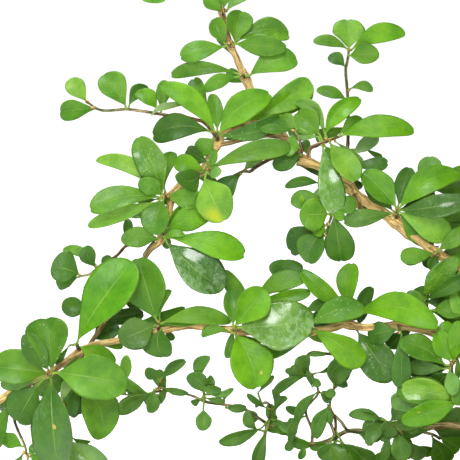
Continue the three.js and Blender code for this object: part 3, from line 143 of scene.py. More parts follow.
class Finish:
    """The nodes of a material or of the sky."""

    def __init__(self, owner):
        owner.use_nodes = True
        self.owner, self.tree = owner, owner.node_tree
        self.tree.nodes.clear()

    def node(self, kind, settings=None, sockets=None, output=0):
        """Adds a node with its settings, sets or links its sockets, and gives back one of its outputs."""
        made = self.tree.nodes.new(kind)
        for key, setting in (settings or {}).items():
            if key == "stops":
                self._stops(made.color_ramp, setting)
            else:
                setattr(made, key, setting)
        for key, value in (sockets or {}).items():
            if isinstance(value, Value):
                self.tree.links.new(value.socket, made.inputs[key])
            else:
                made.inputs[key].default_value = value
        return Value(self, made.outputs[output]) if made.outputs else None

    @staticmethod
    def _stops(ramp, stops):
        while len(ramp.elements) < len(stops):
            ramp.elements.new(1)
        for element, (position, colour) in zip(ramp.elements, stops):
            element.position = position
            element.color = (*colour, 1) if len(colour) == 3 else colour

    def attribute(self, name, output="Vector"):
        return self.node("ShaderNodeAttribute", {"attribute_name": name}, output=output)

    def where(self):
        """Where on its object a point lies, in metres."""
        return self.node("ShaderNodeTexCoord", output="Object")

    def parts(self, vector):
        split = self.node("ShaderNodeSeparateXYZ", sockets={0: vector}).socket.node
        return [Value(self, output) for output in split.outputs]

    def stretched(self, vector, factors):
        return self.node("ShaderNodeVectorMath", {"operation": "MULTIPLY"}, {0: vector, 1: factors})

    def noise(self, vector, scale, detail=3.0, roughness=0.55):
        return self.node("ShaderNodeTexNoise", {}, {"Vector": vector, "Scale": scale, "Detail": detail,
                                                    "Roughness": roughness})

    def cells(self, vector, scale):
        return self.node("ShaderNodeTexVoronoi", {}, {"Vector": vector, "Scale": scale}, "Distance")

    def ramp(self, share, stops):
        return self.node("ShaderNodeValToRGB", {"stops": stops}, {0: share})

    def blend(self, a, b, share, kind="MIX"):
        settings = {"data_type": "RGBA", "blend_type": kind}
        return self.node("ShaderNodeMix", settings, {0: share, 6: as_colour(a), 7: as_colour(b)}, output=2)

    def step(self, value, low, high):
        settings = {"interpolation_type": "SMOOTHSTEP"}
        return self.node("ShaderNodeMapRange", settings, {0: value, 1: low, 2: high})

    def bump(self, height, strength, distance):
        return self.node("ShaderNodeBump", {}, {"Height": height, "Strength": strength, "Distance": distance})

    def done(self, sockets):
        """The material, once its shader has these sockets set or linked."""
        shader = self.node("ShaderNodeBsdfPrincipled", {}, sockets)
        self.node("ShaderNodeOutputMaterial", {}, {"Surface": shader})
        return self.owner


def as_colour(value):
    return value if isinstance(value, Value) else (*value[:3], 1)


def shade(red, green, blue):
    """A colour given as it looks on a screen, from 0 to 255, in linear light."""
    def linear(part):
        part /= 255
        return part / 12.92 if part <= 0.04045 else ((part + 0.055) / 1.055) ** 2.4

    return linear(red), linear(green), linear(blue)


def leaf_finish():
    """Holly leaf: midrib, side veins, pale rim, ripples that break up the gloss, dots and spots, and a
    painted highlight of pale rippled patches on the glossiest leaves.
    """
    finish = Finish(bpy.data.materials.new("holly_leaf"))
    across, along, _ = finish.parts(finish.attribute("place"))
    gloss, dotted, under = finish.parts(finish.attribute("trait"))
    spot_across, spot_along, spot_size = finish.parts(finish.attribute("spot"))
    where = finish.where()
    off_midrib = abs(across)

    patchy = finish.noise(where, 210, 2.0)
    fine = finish.noise(where, 1500, 3.0)
    tint = finish.attribute("tint", "Color")
    lighter = finish.blend(tint, (1.24, 1.14, 1.08), 1.0, "MULTIPLY")
    darker = finish.blend(tint, (0.64, 0.76, 0.64), 1.0, "MULTIPLY")
    lightness = patchy + (fine - 0.5) * 0.3 + across * 0.08 - along * 0.1
    colour = finish.blend(darker, lighter, finish.step(lightness, 0.16, 0.68))

    vein_phase = (along * 7.5 - off_midrib * 2.6) * math.tau
    wave = finish.node("ShaderNodeMath", {"operation": "SINE"}, {0: vein_phase})
    side_veins = finish.step(wave, 0.86, 1.0) * finish.step(off_midrib, 1.0, 0.55)
    colour = finish.blend(colour, lighter, side_veins * 0.35)
    midrib = finish.step(off_midrib, 0.075 - along * 0.045, 0.0) * finish.step(along, 1.02, 0.45)
    colour = finish.blend(colour, finish.blend(tint, shade(178, 204, 104), 0.45), midrib * 0.7)
    rim = finish.step(off_midrib, 0.93, 1.0)
    colour = finish.blend(colour, finish.blend(tint, shade(180, 196, 80), 0.3), rim * 0.4)

    dots = finish.step(finish.cells(where, 980), 0.22, 0.12)
    speck = dots * finish.step(finish.noise(where, 330), 0.44, 0.56)
    colour = finish.blend(colour, shade(176, 206, 144), speck * dotted * 0.62)
    apart = (across - spot_across, (along - spot_along) * 2.2)
    far = (apart[0] * apart[0] + apart[1] * apart[1]) ** 0.5 + (finish.noise(where, 520) - 0.5) * 0.16
    small = finish.step(spot_size, 0.0, 0.02) * finish.step(spot_size, 0.3, 0.2)
    spotted = finish.step(far, spot_size, spot_size * 0.6) * small
    colour = finish.blend(colour, shade(190, 172, 74), spotted * 0.8)
    patch = finish.step(far, spot_size * 0.9, spot_size * 0.1) * finish.step(spot_size, 0.3, 0.4)
    colour = finish.blend(colour, shade(178, 188, 30), patch * 0.75)
    stalk = finish.step(along, 0.1, -0.02)
    colour = finish.blend(colour, finish.blend(tint, shade(140, 170, 56), 0.6), stalk)
    ripple = finish.noise(where, 620, 2.0)
    swell = finish.noise(where, 170, 1.0)
    # Painted highlight: on the glossiest leaves, pale whitish-green rippled patches are blended into the
    # colour as a painted reflection of the bright sky.
    painted_sheen_mask = finish.step(ripple * 0.6 + swell * 0.4 + across * 0.12, 0.44, 0.72)
    painted_highlight = painted_sheen_mask * finish.step(gloss, 0.84, 0.98)
    colour = finish.blend(colour, shade(178, 208, 160), painted_highlight * 0.3)
    below = finish.blend(colour, shade(136, 170, 104), 0.4)
    colour = finish.blend(colour, below, under)

    height = (ripple + swell * 2.2) * (gloss * gloss * 4.2 + 0.15) + fine * 0.12
    height = height - side_veins * 0.2 - midrib * 0.7
    rough = 0.52 - gloss * 0.28 + under * 0.16 + (fine - 0.5) * 0.12
    return finish.done({
        "Base Color": colour,
        "Roughness": rough,
        "Normal": finish.bump(height, 0.55, 0.0004),
        "Coat Weight": ((gloss - 0.35) * 1.2 * (1 - under)).clamped(),
        "Coat Roughness": 0.16,
        "Specular IOR Level": 0.25,
    })


def bark_finish():
    """Bark: grey-brown flakes and long ridges over tan, darker and smoother on thin twigs."""
    finish = Finish(bpy.data.materials.new("bark"))
    place = finish.attribute("place")
    age, knot, _ = finish.parts(finish.attribute("trait"))
    tint = finish.attribute("tint", "Color")
    ridges = finish.noise(finish.stretched(place, (1.0, 1.0, 0.13)), 1.5, 4.0, 0.6)
    threads = finish.noise(finish.stretched(place, (1.0, 1.0, 0.06)), 3.6, 3.0, 0.6)
    flakes = finish.noise(place, 0.9, 5.0, 0.65)
    furrow = finish.step(ridges * 0.6 + threads * 0.4, 0.5, 0.4)
    crest = finish.step(ridges * 0.55 + threads * 0.45, 0.5, 0.6)
    dark = finish.blend(tint, (0.34, 0.28, 0.22), 1.0, "MULTIPLY")
    pale = finish.blend(tint, shade(236, 208, 152), 0.5)
    colour = finish.blend(finish.blend(tint, pale, crest), dark, furrow * 0.8)
    grey = finish.step(flakes, 0.54, 0.68) * 0.45
    colour = finish.blend(colour, finish.blend(tint, shade(128, 112, 92), 0.5), grey)
    colour = finish.blend(colour, dark, knot.clamped() * 0.85)
    height = ridges * 0.6 + threads * 0.4 + flakes * 0.3 - furrow * 0.5
    return finish.done({
        "Base Color": colour,
        "Roughness": 0.74 + (flakes - 0.5) * 0.3 - age * 0.12,
        "Normal": finish.bump(height, 0.9, 0.0006),
        "Specular IOR Level": 0.3,
    })


def clay_finish():
    """Unglazed brown stoneware: fired colour in soft clouds, iron specks, a fine sandy skin."""
    finish = Finish(bpy.data.materials.new("unglazed_clay"))
    where = finish.where()
    clouds = finish.noise(where, 16, 4.0)
    sand = finish.noise(where, 900, 3.0, 0.65)
    drag = finish.noise(finish.stretched(where, (6.0, 6.0, 130.0)), 1.4, 3.0)
    colour = finish.ramp(clouds * 0.8 + drag * 0.2, [
        (0.25, shade(78, 48, 38)), (0.5, shade(104, 66, 50)), (0.78, shade(128, 86, 64)),
    ])
    spots = finish.step(finish.cells(where, 420), 0.16, 0.09)
    iron = spots * finish.step(finish.noise(where, 130), 0.5, 0.6)
    colour = finish.blend(colour, shade(46, 32, 28), iron * 0.8)
    colour = finish.blend(colour, shade(150, 112, 86), finish.step(sand, 0.62, 0.78) * 0.35)
    worn = finish.step(finish.node("ShaderNodeNewGeometry", output="Pointiness"), 0.53, 0.6)
    colour = finish.blend(colour, shade(156, 118, 92), worn * 0.5)
    return finish.done({
        "Base Color": colour,
        "Roughness": 0.78 + (sand - 0.5) * 0.3,
        "Normal": finish.bump(sand * 0.5 + drag * 0.35 + clouds * 0.4, 0.55, 0.0005),
        "Specular IOR Level": 0.3,
    })


def grit_finish():
    """Bonsai grit: baked clay granules in tan, brown and grey, dusty and porous."""
    finish = Finish(bpy.data.materials.new("grit"))
    where = finish.where()
    tint = finish.attribute("tint", "Color")
    pores = finish.noise(where, 1300, 4.0, 0.7)
    damp = finish.noise(where, 45, 3.0)
    wet = finish.step(damp, 0.42, 0.6)
    colour = finish.blend(tint, (0.45, 0.42, 0.4), finish.step(pores, 0.55, 0.4) * 0.6, "MULTIPLY")
    colour = finish.blend(colour, (0.5, 0.46, 0.42), wet * 0.6, "MULTIPLY")
    return finish.done({
        "Base Color": colour,
        "Roughness": 0.9 - wet * 0.2,
        "Normal": finish.bump(pores, 0.7, 0.0005),
        "Specular IOR Level": 0.3,
    })


def net_finish():
    """Dark plastic netting, slightly scuffed."""
    finish = Finish(bpy.data.materials.new("drain_netting"))
    where = finish.where()
    scuff = finish.noise(where, 700, 3.0)
    colour = finish.ramp(scuff, [(0.35, shade(32, 46, 42)), (0.7, shade(58, 74, 68))])
    return finish.done({
        "Base Color": colour,
        "Roughness": 0.45 + scuff * 0.25,
        "Normal": finish.bump(scuff, 0.2, 0.0002),
    })


def moss_finish():
    """Moss: green shoots over a browner felt."""
    finish = Finish(bpy.data.materials.new("moss"))
    where = finish.where()
    tint = finish.attribute("tint", "Color")
    felt = finish.noise(where, 240, 4.0)
    fine = finish.noise(where, 1600, 2.0)
    colour = finish.blend(tint, (1.5, 1.15, 0.8), finish.step(felt, 0.5, 0.7) * 0.6, "MULTIPLY")
    return finish.done({
        "Base Color": colour,
        "Roughness": 0.8 + (fine - 0.5) * 0.2,
        "Normal": finish.bump(fine, 0.4, 0.0003),
        "Specular IOR Level": 0.25,
    })


# Tones of the leaves, by the first letter of their tone words. Besides the leaves' own greens, young and old,
# they hold painted light and shade: lit leaves get the lighter tones and shaded leaves the darker ones.
TONES = {
    "b": shade(94, 150, 16),
    "l": shade(110, 160, 50),
    "m": shade(84, 134, 30),
    "k": shade(72, 122, 24),
    "d": shade(62, 108, 28),
    "v": shade(50, 92, 16),
    "s": shade(80, 138, 12),
    "g": shade(102, 148, 66),
    "q": shade(78, 120, 44),
    "y": shade(100, 148, 20),
    "p": shade(124, 162, 94),
    "w": shade(84, 130, 48),
}


# Skins
class Skin:
    """The points and faces of one piece, with what its finishes read at each point."""

    KINDS = {"place": "FLOAT_VECTOR", "trait": "FLOAT_VECTOR", "spot": "FLOAT_VECTOR", "tint": "FLOAT_COLOR"}

    def __init__(self):
        self.points, self.faces, self.slots = [], [], []
        self.read = {name: [] for name in self.KINDS}

    def point(self, at, place, tint, trait, spot=(0, 0, 0)):
        self.points.append(at)
        for name, value in (("place", place), ("trait", trait), ("spot", spot), ("tint", (*tint, 1))):
            self.read[name].append(value)
        return len(self.points) - 1

    def face(self, corners, slot=0):
        self.faces.append(corners)
        self.slots.append(slot)

    def plain(self, name):
        """The points and faces as an object in the scene, in metres."""
        mesh = bpy.data.meshes.new(name)
        mesh.from_pydata([point * MM for point in self.points], [], self.faces)
        made = bpy.data.objects.new(name, mesh)
        bpy.context.scene.collection.objects.link(made)
        return made

    def build(self, name, finishes, nodes, slot):
        """The piece, which rides on the model in the place of its nodes."""
        piece = self.plain(name)
        mesh = piece.data
        for finish in finishes:
            mesh.materials.append(finish)
        mesh.polygons.foreach_set("material_index", self.slots)
        mesh.polygons.foreach_set("use_smooth", [True] * len(self.faces))
        for key, kind in self.KINDS.items():
            layer = mesh.attributes.new(key, kind, "POINT")
            field = "color" if kind == "FLOAT_COLOR" else "vector"
            layer.data.foreach_set(field, [part for value in self.read[key] for part in value])
        mesh.update()
        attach(piece, "root")
        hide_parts(*nodes)
        return piece


STEEP = 0.9


def first_side(tangent):
    """A direction to start from beside a line: upwards, or to the right where the line is steep."""
    return (UP if abs(tangent.z) < STEEP else RIGHT).copy()


def square_to(side, tangent):
    return (side - tangent * side.dot(tangent)).normalized()


def round_centre(turn, radius, height=0):
    return Vector((radius * math.cos(turn), radius * math.sin(turn), height))


def smooth_path(stops, radii, step):
    """Points and radii at about even steps along a soft curve through the stops."""
    ends = [stops[0] * 2 - stops[1], *stops, stops[-1] * 2 - stops[-2]]
    points, sizes = [], []
    for i in range(len(stops) - 1):
        a, b, c, d = ends[i:i + 4]
        leg = (c - b).length
        ease = min(1.0, 2.2 * leg / max((c - a).length, (d - b).length, 1e-6))
        leave, arrive = (c - a) * 0.5 * ease, (d - b) * 0.5 * ease
        count = max(1, round(leg / step))
        for j in range(count):
            t = j / count
            points.append(
                b * (2 * t**3 - 3 * t**2 + 1) + leave * (t**3 - 2 * t**2 + t)
                + c * (3 * t**2 - 2 * t**3) + arrive * (t**3 - t**2)
            )
            sizes.append(mix(radii[i], radii[i + 1], t))
    return [*points, stops[-1].copy()], [*sizes, radii[-1]]


def add_tube(skin, points, radii, sides, tint, trait, slot=0, relief=None, rounded_end=True, place=None):
    """A tube through the points. Its place runs round it and along it, so that grain follows it.
    Its tint and trait are the same all along, or a function of the ring's number."""
    rings, side, travelled = [], None, 0.0

    def mark(i, at, spot_on):
        tint_here, trait_here = (value(i) if callable(value) else value for value in (tint, trait))
        return skin.point(at, place or spot_on, tint_here, trait_here)

    for i, centre in enumerate(points):
        before, after = points[max(i - 1, 0)], points[min(i + 1, len(points) - 1)]
        tangent = (after - before).normalized()
        side = square_to(side or first_side(tangent), tangent)
        other = tangent.cross(side)
        travelled += (centre - before).length
        ring = []
        for j in range(sides):
            turn = 2 * math.pi * j / sides
            radius = radii[i] * (relief(i, turn, travelled) if relief else 1)
            out = side * math.cos(turn) + other * math.sin(turn)
            spot_on = (radii[i] * math.cos(turn), radii[i] * math.sin(turn), travelled)
            ring.append(mark(i, centre + out * radius, spot_on))
        rings.append(ring)
    for lower, upper in zip(rings, rings[1:]):
        for j in range(sides):
            k = (j + 1) % sides
            skin.face((lower[j], lower[k], upper[k], upper[j]), slot)
    tangent = (points[-1] - points[-2]).normalized()
    tip = points[-1] + tangent * (radii[-1] * 0.7 if rounded_end else 0)
    end = mark(len(points) - 1, tip, (0, 0, travelled))
    start = mark(0, points[0].copy(), (0, 0, 0))
    for j in range(sides):
        k = (j + 1) % sides
        skin.face((rings[-1][j], rings[-1][k], end), slot)
        skin.face((rings[0][k], rings[0][j], start), slot)


# Leaves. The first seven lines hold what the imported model's own leaves are made with.
ROLL_SPREAD, EDGE_ON_WIDTH, EDGE_ON_ROLL, COLLAR_LIFT = 0.42, 2, 1.1, 0.1
BENDS = [0, 2.5, -2.5, 5, -5, 7.5, -7.5, 10, -10, 13, -13]
BLADE_BOW, BLADE_DISH = 0.09, 0.16
FULL_END, PLAIN_END, SMALL_LEAF = (0.96, 0.46), (0.88, 0.74), 9
SOLID_THICKNESS = 0.7
FIRST_NODE = 2.9
STEM_STEPS = 60
FOUND_WITHIN = 0.25
BLADE_THICKNESS, RIM_THINNING, NECK = 0.36, 0.6, 0.05
PLAIN_GLOSS, STAR_GLOSS, FOLDED = 0.4, 0.34, 3.4
SPECK_SIZE, YELLOW_TIP = 0.07, (0.4, 0.84, 0.75)
STALK_RADII = [0.44, 0.36, 0.34, 0.12]
BLADE_ROWS = 16
ROWS = [(1 - math.cos(math.pi * i / BLADE_ROWS)) / 2 for i in range(BLADE_ROWS + 1)]
COLUMNS = [-1, -0.86, -0.6, -0.3, 0, 0.3, 0.6, 0.86, 1]


class Leaf:
    """A blade from its collar to its tip, facing one way and rolled about its length."""

    def __init__(self, collar, tip, width, facing, roll, tone, root, bow=None):
        self.collar, self.tip, self.width, self.tone, self.root = collar, tip, width, tone, root
        self.bow, self.roll = bow, roll
        self.length = (tip - collar).length
        self.along = (tip - collar).normalized()
        flat = square_to(facing, self.along)
        self.normal = Matrix.Rotation(roll, 3, self.along) @ flat
        self.across = self.along.cross(self.normal)

    def solid_corners(self, end):
        """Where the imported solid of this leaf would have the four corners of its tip."""
        share, spread = end
        lift = self.length * BLADE_BOW * 4 * share * (1 - share) + spread * self.width / 2 * BLADE_DISH
        middle = self.collar.lerp(self.tip, share) + self.normal * lift
        return [
            middle + self.across * (hand * spread * self.width / 2)
            + self.normal * (face * SOLID_THICKNESS / 2)
            for hand in (-1, 1) for face in (-1, 1)
        ]


class Solids:
    """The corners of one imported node, to tell how a leaf stands in it."""

    def __init__(self, node):
        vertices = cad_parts[node].data.vertices
        corners = np.empty(len(vertices) * 3, np.float32)
        vertices.foreach_get("co", corners)
        self.corners = corners.reshape(-1, 3) / MM

    def misfit(self, leaf, end):
        wanted = np.array([list(corner) for corner in leaf.solid_corners(end)])
        gaps = np.linalg.norm(self.corners[None] - wanted[:, None], axis=2)
        return gaps.min(axis=1).mean()


def best_way(solids, ways, end):
    """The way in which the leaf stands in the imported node, and whether it is there at all."""
    misfits = [solids.misfit(way, end) for way in ways]
    best = min(range(len(ways)), key=misfits.__getitem__)
    return ways[best], misfits[best] < FOUND_WITHIN


def half_width(share, broadest, blunt):
    """The half width of a blade at a share of its length, as a share of its greatest."""
    if share > broadest:
        past = (share - broadest) / (1 - broadest)
        return math.sqrt(max(0, 1 - past**blunt))
    part = share / broadest
    return mix(NECK, 1, (part * part * (3 - 2 * part)) ** 0.72)


def tone_of(word, draw):
    """A leaf's colour, with its painted light and shade, from its tone word."""
    red, green, blue = TONES[word[0]]
    light, warm = draw(0.92, 1.08), draw(-0.05, 0.05)
    return red * light * (1 + warm), green * light, blue * light * (1 - warm)


def add_blade(skin, leaf, draw):
    """A blade by its tone word, whose first letter gives its tone with painted light and shade: * glossy,
    ** glossy with a painted highlight, . dotted, / folded, ! specked, % yellowing, o rounder, e broadest at
    its middle."""
    word = leaf.tone
    tint = tone_of(word, draw)
    gloss = within(PLAIN_GLOSS + STAR_GLOSS * word.count("*") + draw(-0.15, 0.08), 0, 1)
    trait = (gloss, 1.0 if "." in word else draw(0, 0.35))
    fold = FOLDED if "/" in word else draw(0.7, 2.7)
    curl, sickle, twist = draw(-0.03, 0.1), draw(-0.05, 0.05), draw(-0.3, 0.3)
    if leaf.bow is not None:
        sickle = (leaf.bow / 100 - BLADE_BOW * math.sin(leaf.roll)) / math.cos(leaf.roll)
        twist *= 0.5
    waves, phase = draw(1.2, 2.6), draw(0, TURN)
    wave_height = draw(0.012, 0.04) * leaf.width
    notch = draw(0, 0.03)
    broadest = 0.52 if "e" in word else 0.6 if "o" in word else draw(0.62, 0.72)
    blunt = draw(1.9, 2.5)
    lopsided = draw(-0.06, 0.06)
    half = leaf.width / 2
    spot = (draw(-0.5, 0.5), draw(0.45, 0.8), SPECK_SIZE) if "!" in word else (0, 0, 0)
    if "%" in word:
        spot = YELLOW_TIP

    def surface(share, sideways):
        spread = sideways * half * half_width(share, broadest, blunt) * (1 + lopsided * sideways)
        lift = leaf.length * (BLADE_BOW * 4 * share * (1 - share) - curl * share**3)
        lift += abs(spread) * BLADE_DISH * fold * (0.5 + 0.5 * abs(sideways))
        crest = math.sin(phase + waves * TURN * share + (1.7 if sideways > 0 else 0))
        lift += wave_height * crest * sideways**2
        turn = twist * (share - 0.4)
        lift += spread * math.sin(turn)
        back = notch * leaf.length * (1 - abs(sideways)) ** 2 * max(0, share - 0.8) / 0.2
        bow = sickle * leaf.length * 4 * share * (1 - share)
        middle = leaf.collar + leaf.along * (leaf.length * share - back)
        return middle + leaf.across * (spread * math.cos(turn) + bow) + leaf.normal * lift

    def face_point(share, sideways, face):
        thick = BLADE_THICKNESS / 2 * (1 - RIM_THINNING * sideways**4) * (1 if abs(sideways) < 1 else 0)
        under = 0.0 if face > 0 or abs(sideways) == 1 else 1.0
        at = surface(share, sideways) + leaf.normal * (face * thick)
        return skin.point(at, (sideways, share, leaf.length), tint, (*trait, under), spot)

    top = [[face_point(share, sideways, 1) for sideways in COLUMNS] for share in ROWS[:-1]]
    bottom = []
    for row, share in enumerate(ROWS[:-1]):
        inner = [face_point(share, sideways, -1) for sideways in COLUMNS[1:-1]]
        bottom.append([top[row][0], *inner, top[row][-1]])
    tip = face_point(1, 0.0, 0)
    for row in range(len(top) - 1):
        for i in range(len(COLUMNS) - 1):
            skin.face((top[row][i], top[row][i + 1], top[row + 1][i + 1], top[row + 1][i]))
            skin.face((bottom[row][i + 1], bottom[row][i], bottom[row + 1][i], bottom[row + 1][i + 1]))
    for i in range(len(COLUMNS) - 1):
        skin.face((top[-1][i], top[-1][i + 1], tip))
        skin.face((bottom[-1][i + 1], bottom[-1][i], tip))
    foot = [*reversed(top[0]), *bottom[0][1:-1]]
    skin.face(tuple(foot))
    add_stalk(skin, leaf, surface, tint)


def add_stalk(skin, leaf, surface, tint):
    """The leaf's stalk, from inside its stem to under the foot of the blade."""
    foot, onto = surface(0.0, 0.0), surface(0.16, 0.0)
    knee = leaf.root.lerp(foot, 0.55) + leaf.normal * (0.06 * (foot - leaf.root).length)
    points, radii = smooth_path([leaf.root, knee, foot, onto], STALK_RADII, 0.8)
    add_tube(skin, points, radii, 6, tint, (0.3, 0.0, 0.2), place=(0, -0.1, 0))


# Stems
class Stem:
    """A stem's line through its stops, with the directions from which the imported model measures
    its leaves."""

    def __init__(self, stops, radii):
        self.stops, self.radii, self.legs, self.total = stops, radii, [], 0.0
        side = None
        for start, end in zip(stops, stops[1:]):
            tangent = (end - start).normalized()
            side = square_to(side or first_side(tangent), tangent)
            self.legs.append((self.total, start, tangent, side))
            self.total += (end - start).length
        self.first_node = min(FIRST_NODE, self.total / 2)

    def frame_at(self, distance):
        start, origin, tangent, side = next(leg for leg in reversed(self.legs) if leg[0] <= distance + 1e-9)
        return origin + tangent * (distance - start), tangent, side, tangent.cross(side)

    def nearest(self, across, up):
        """How far along, and at what depth, the stem passes nearest to a place in the view."""
        best = None
        for i in range(STEM_STEPS + 1):
            distance = max(self.total * i / STEM_STEPS, self.first_node)
            x, z, depth = view_reading(self.frame_at(min(distance, self.total))[0])
            miss = math.hypot(x - across, z - up)
            if best is None or miss < best[0]:
                best = (miss, distance, depth)
        return best[1:]


def front_leaves(name, stem, readings, draw):
    """The leaves of a spray in front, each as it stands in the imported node."""
    solids, leaves = Solids(name), []
    for x0, z0, x1, z1, apparent_width, lift, tone, bow in readings:
        distance, depth = stem.nearest(x0, z0)
        turned = draw(-ROLL_SPREAD, ROLL_SPREAD)
        roll = EDGE_ON_ROLL if apparent_width < EDGE_ON_WIDTH else turned
        width = apparent_width / math.cos(roll)
        collar = in_view((x0, z0, depth + lift * COLLAR_LIFT))
        root = stem.frame_at(min(distance, stem.total))[0]
        ways = [
            Leaf(collar, in_view((x1, z1, depth + lift + bend)), width, TO_VIEWER, roll, tone, root, bow)
            for bend in BENDS
        ]
        end = PLAIN_END if math.hypot(x1 - x0, z1 - z0) < SMALL_LEAF else FULL_END
        leaves.append(best_way(solids, ways, end)[0])
    return leaves


def wood_places():
    """Readings of places all along the wood in front, for leaves that grow from the nearest of them."""
    paths = [path for _, path, _ in FRONT_LIMBS] + [path for _, path, _, _ in SPRAYS] + SIDE_TWIGS
    places = []
    for path in paths:
        points, _ = smooth_path([in_view(reading) for reading in path], [1] * len(path), 1.0)
        places += [(view_reading(point), point) for point in points]
    return places


DISTANT = -30
FILLER_LIFT, DEPTH_COST = 0.35, 0.05


def filling_leaves(readings, places, distant, draw):
    """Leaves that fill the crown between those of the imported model."""
    leaves = []
    for x0, z0, x1, z1, apparent_width, lift, tone, bow in readings:
        (_, _, depth), root = min(
            (place for place in places if (place[0][2] < DISTANT) == distant),
            key=lambda place: math.hypot(place[0][0] - x0, place[0][1] - z0) + DEPTH_COST * abs(place[0][2]),
        )
        roll = draw(-ROLL_SPREAD, ROLL_SPREAD)
        collar = in_view((x0, z0, depth + lift * FILLER_LIFT))
        tip = in_view((x1, z1, depth + lift))
        width = apparent_width / math.cos(roll)
        leaves.append(Leaf(collar, tip, width, TO_VIEWER, roll, tone, root, bow))
    return leaves


# Leaves past the view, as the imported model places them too
OUTER_TONES = "mmkmldmkbmdm"
PAIRS, FIRST_PAIR, LAST_PAIR = 5, 0.25, 0.97
PAIR_TURNS = [0, 0.3, -0.3, 0.6, -0.6, 0.9, -0.9, 1.2]
PAIR_LEAN, END_LEAN, COLLAR_REACH = 0.55, 1.1, 2
CROWN_CENTRE = Vector((25, 0, 140))
VIEW_MARGIN = VIEW_WIDTH / 2 * 1.03


def in_window(point):
    across, up, _ = view_reading(point)
    return max(abs(across), abs(up)) < VIEW_MARGIN


def paired_leaves(name, stem, draw, lengths, solids=None):
    """The leaves of a stem past the view, in pairs, each pair square to the one before. Those that
    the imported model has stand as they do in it."""
    leaves = []
    for pair in range(PAIRS):
        distance = stem.total * mix(FIRST_PAIR, LAST_PAIR, pair / (PAIRS - 1))
        centre, tangent, side, other = stem.frame_at(distance)
        outward = (centre - CROWN_CENTRE).normalized()
        facing = (UP * 0.9 + outward * 0.5).normalized()
        lean = END_LEAN if pair == PAIRS - 1 else PAIR_LEAN
        for hand in (-1, 1):
            length = draw(*lengths)
            width = length * draw(0.42, 0.52)
            roll = draw(-0.3, 0.3)
            spread = Matrix.Rotation(draw(-0.4, 0.4), 3, tangent) @ ((side if pair % 2 else other) * hand)
            ways = []
            for turn in PAIR_TURNS:
                heading = (spread + tangent * lean + UP * (0.15 + turn)).normalized()
                collar = centre + heading * COLLAR_REACH
                tip = collar + heading * length
                if not in_window(collar) and not in_window(tip):
                    tone = OUTER_TONES[(len(leaves) * 5 + len(name)) % len(OUTER_TONES)]
                    ways.append(Leaf(collar, tip, width, facing, roll, tone, centre))
            if ways:
                way, found = best_way(solids, ways, PLAIN_END) if solids else (ways[0], True)
                if found:
                    leaves.append(way)
    return leaves


TWIG_TAN, TWIG_BROWN, TWIG_GREEN = shade(168, 134, 82), shade(88, 68, 44), shade(90, 112, 44)
LIMB_TAN, DISTANT_BARK = shade(238, 202, 126), shade(86, 102, 52)
BUD_BROWN, BUD_SHAPE = shade(168, 128, 58), [(0, 0.3), (0.25, 0.42), (0.55, 0.4), (0.8, 0.26), (1.0, 0.08)]
SLIM, SLIMMER = 0.86, 0.7  # how thick the wood is made beside its readings


def add_stem(skin, stem, slot, seed):
    """A stem with rings where its leaves have been, tan at its foot and green towards its tip."""
    radii = [mix(*stem.radii, i / (len(stem.stops) - 1)) * SLIM for i in range(len(stem.stops))]
    points, sizes = smooth_path(stem.stops, radii, 0.5)
    old, middle, young = Vector(TWIG_TAN), Vector(TWIG_BROWN), Vector(TWIG_GREEN)

    def tint(i):
        share = i / (len(points) - 1)
        return tuple(old.lerp(middle, share * 2) if share < 0.5 else middle.lerp(young, share * 2 - 1))

    def relief(i, turn, travelled):
        ring = 0.16 * max(0.0, math.cos(travelled * 2.4 + seed)) ** 6
        return 1 + ring + 0.12 * noise.noise(round_centre(turn, 2, travelled * 0.7 + seed))

    add_tube(skin, points, sizes, 8, tint, lambda i: (i / (len(points) - 1), 0, 0), slot, relief)


def add_bud(skin, at, heading, size, slot):
    """A small pointed bud in the angle of a leaf."""
    points = [at + heading * (size * share) for share, _ in BUD_SHAPE]
    radii = [size * part for _, part in BUD_SHAPE]
    add_tube(skin, points, radii, 8, BUD_BROWN, (0.6, 0, 0), slot)


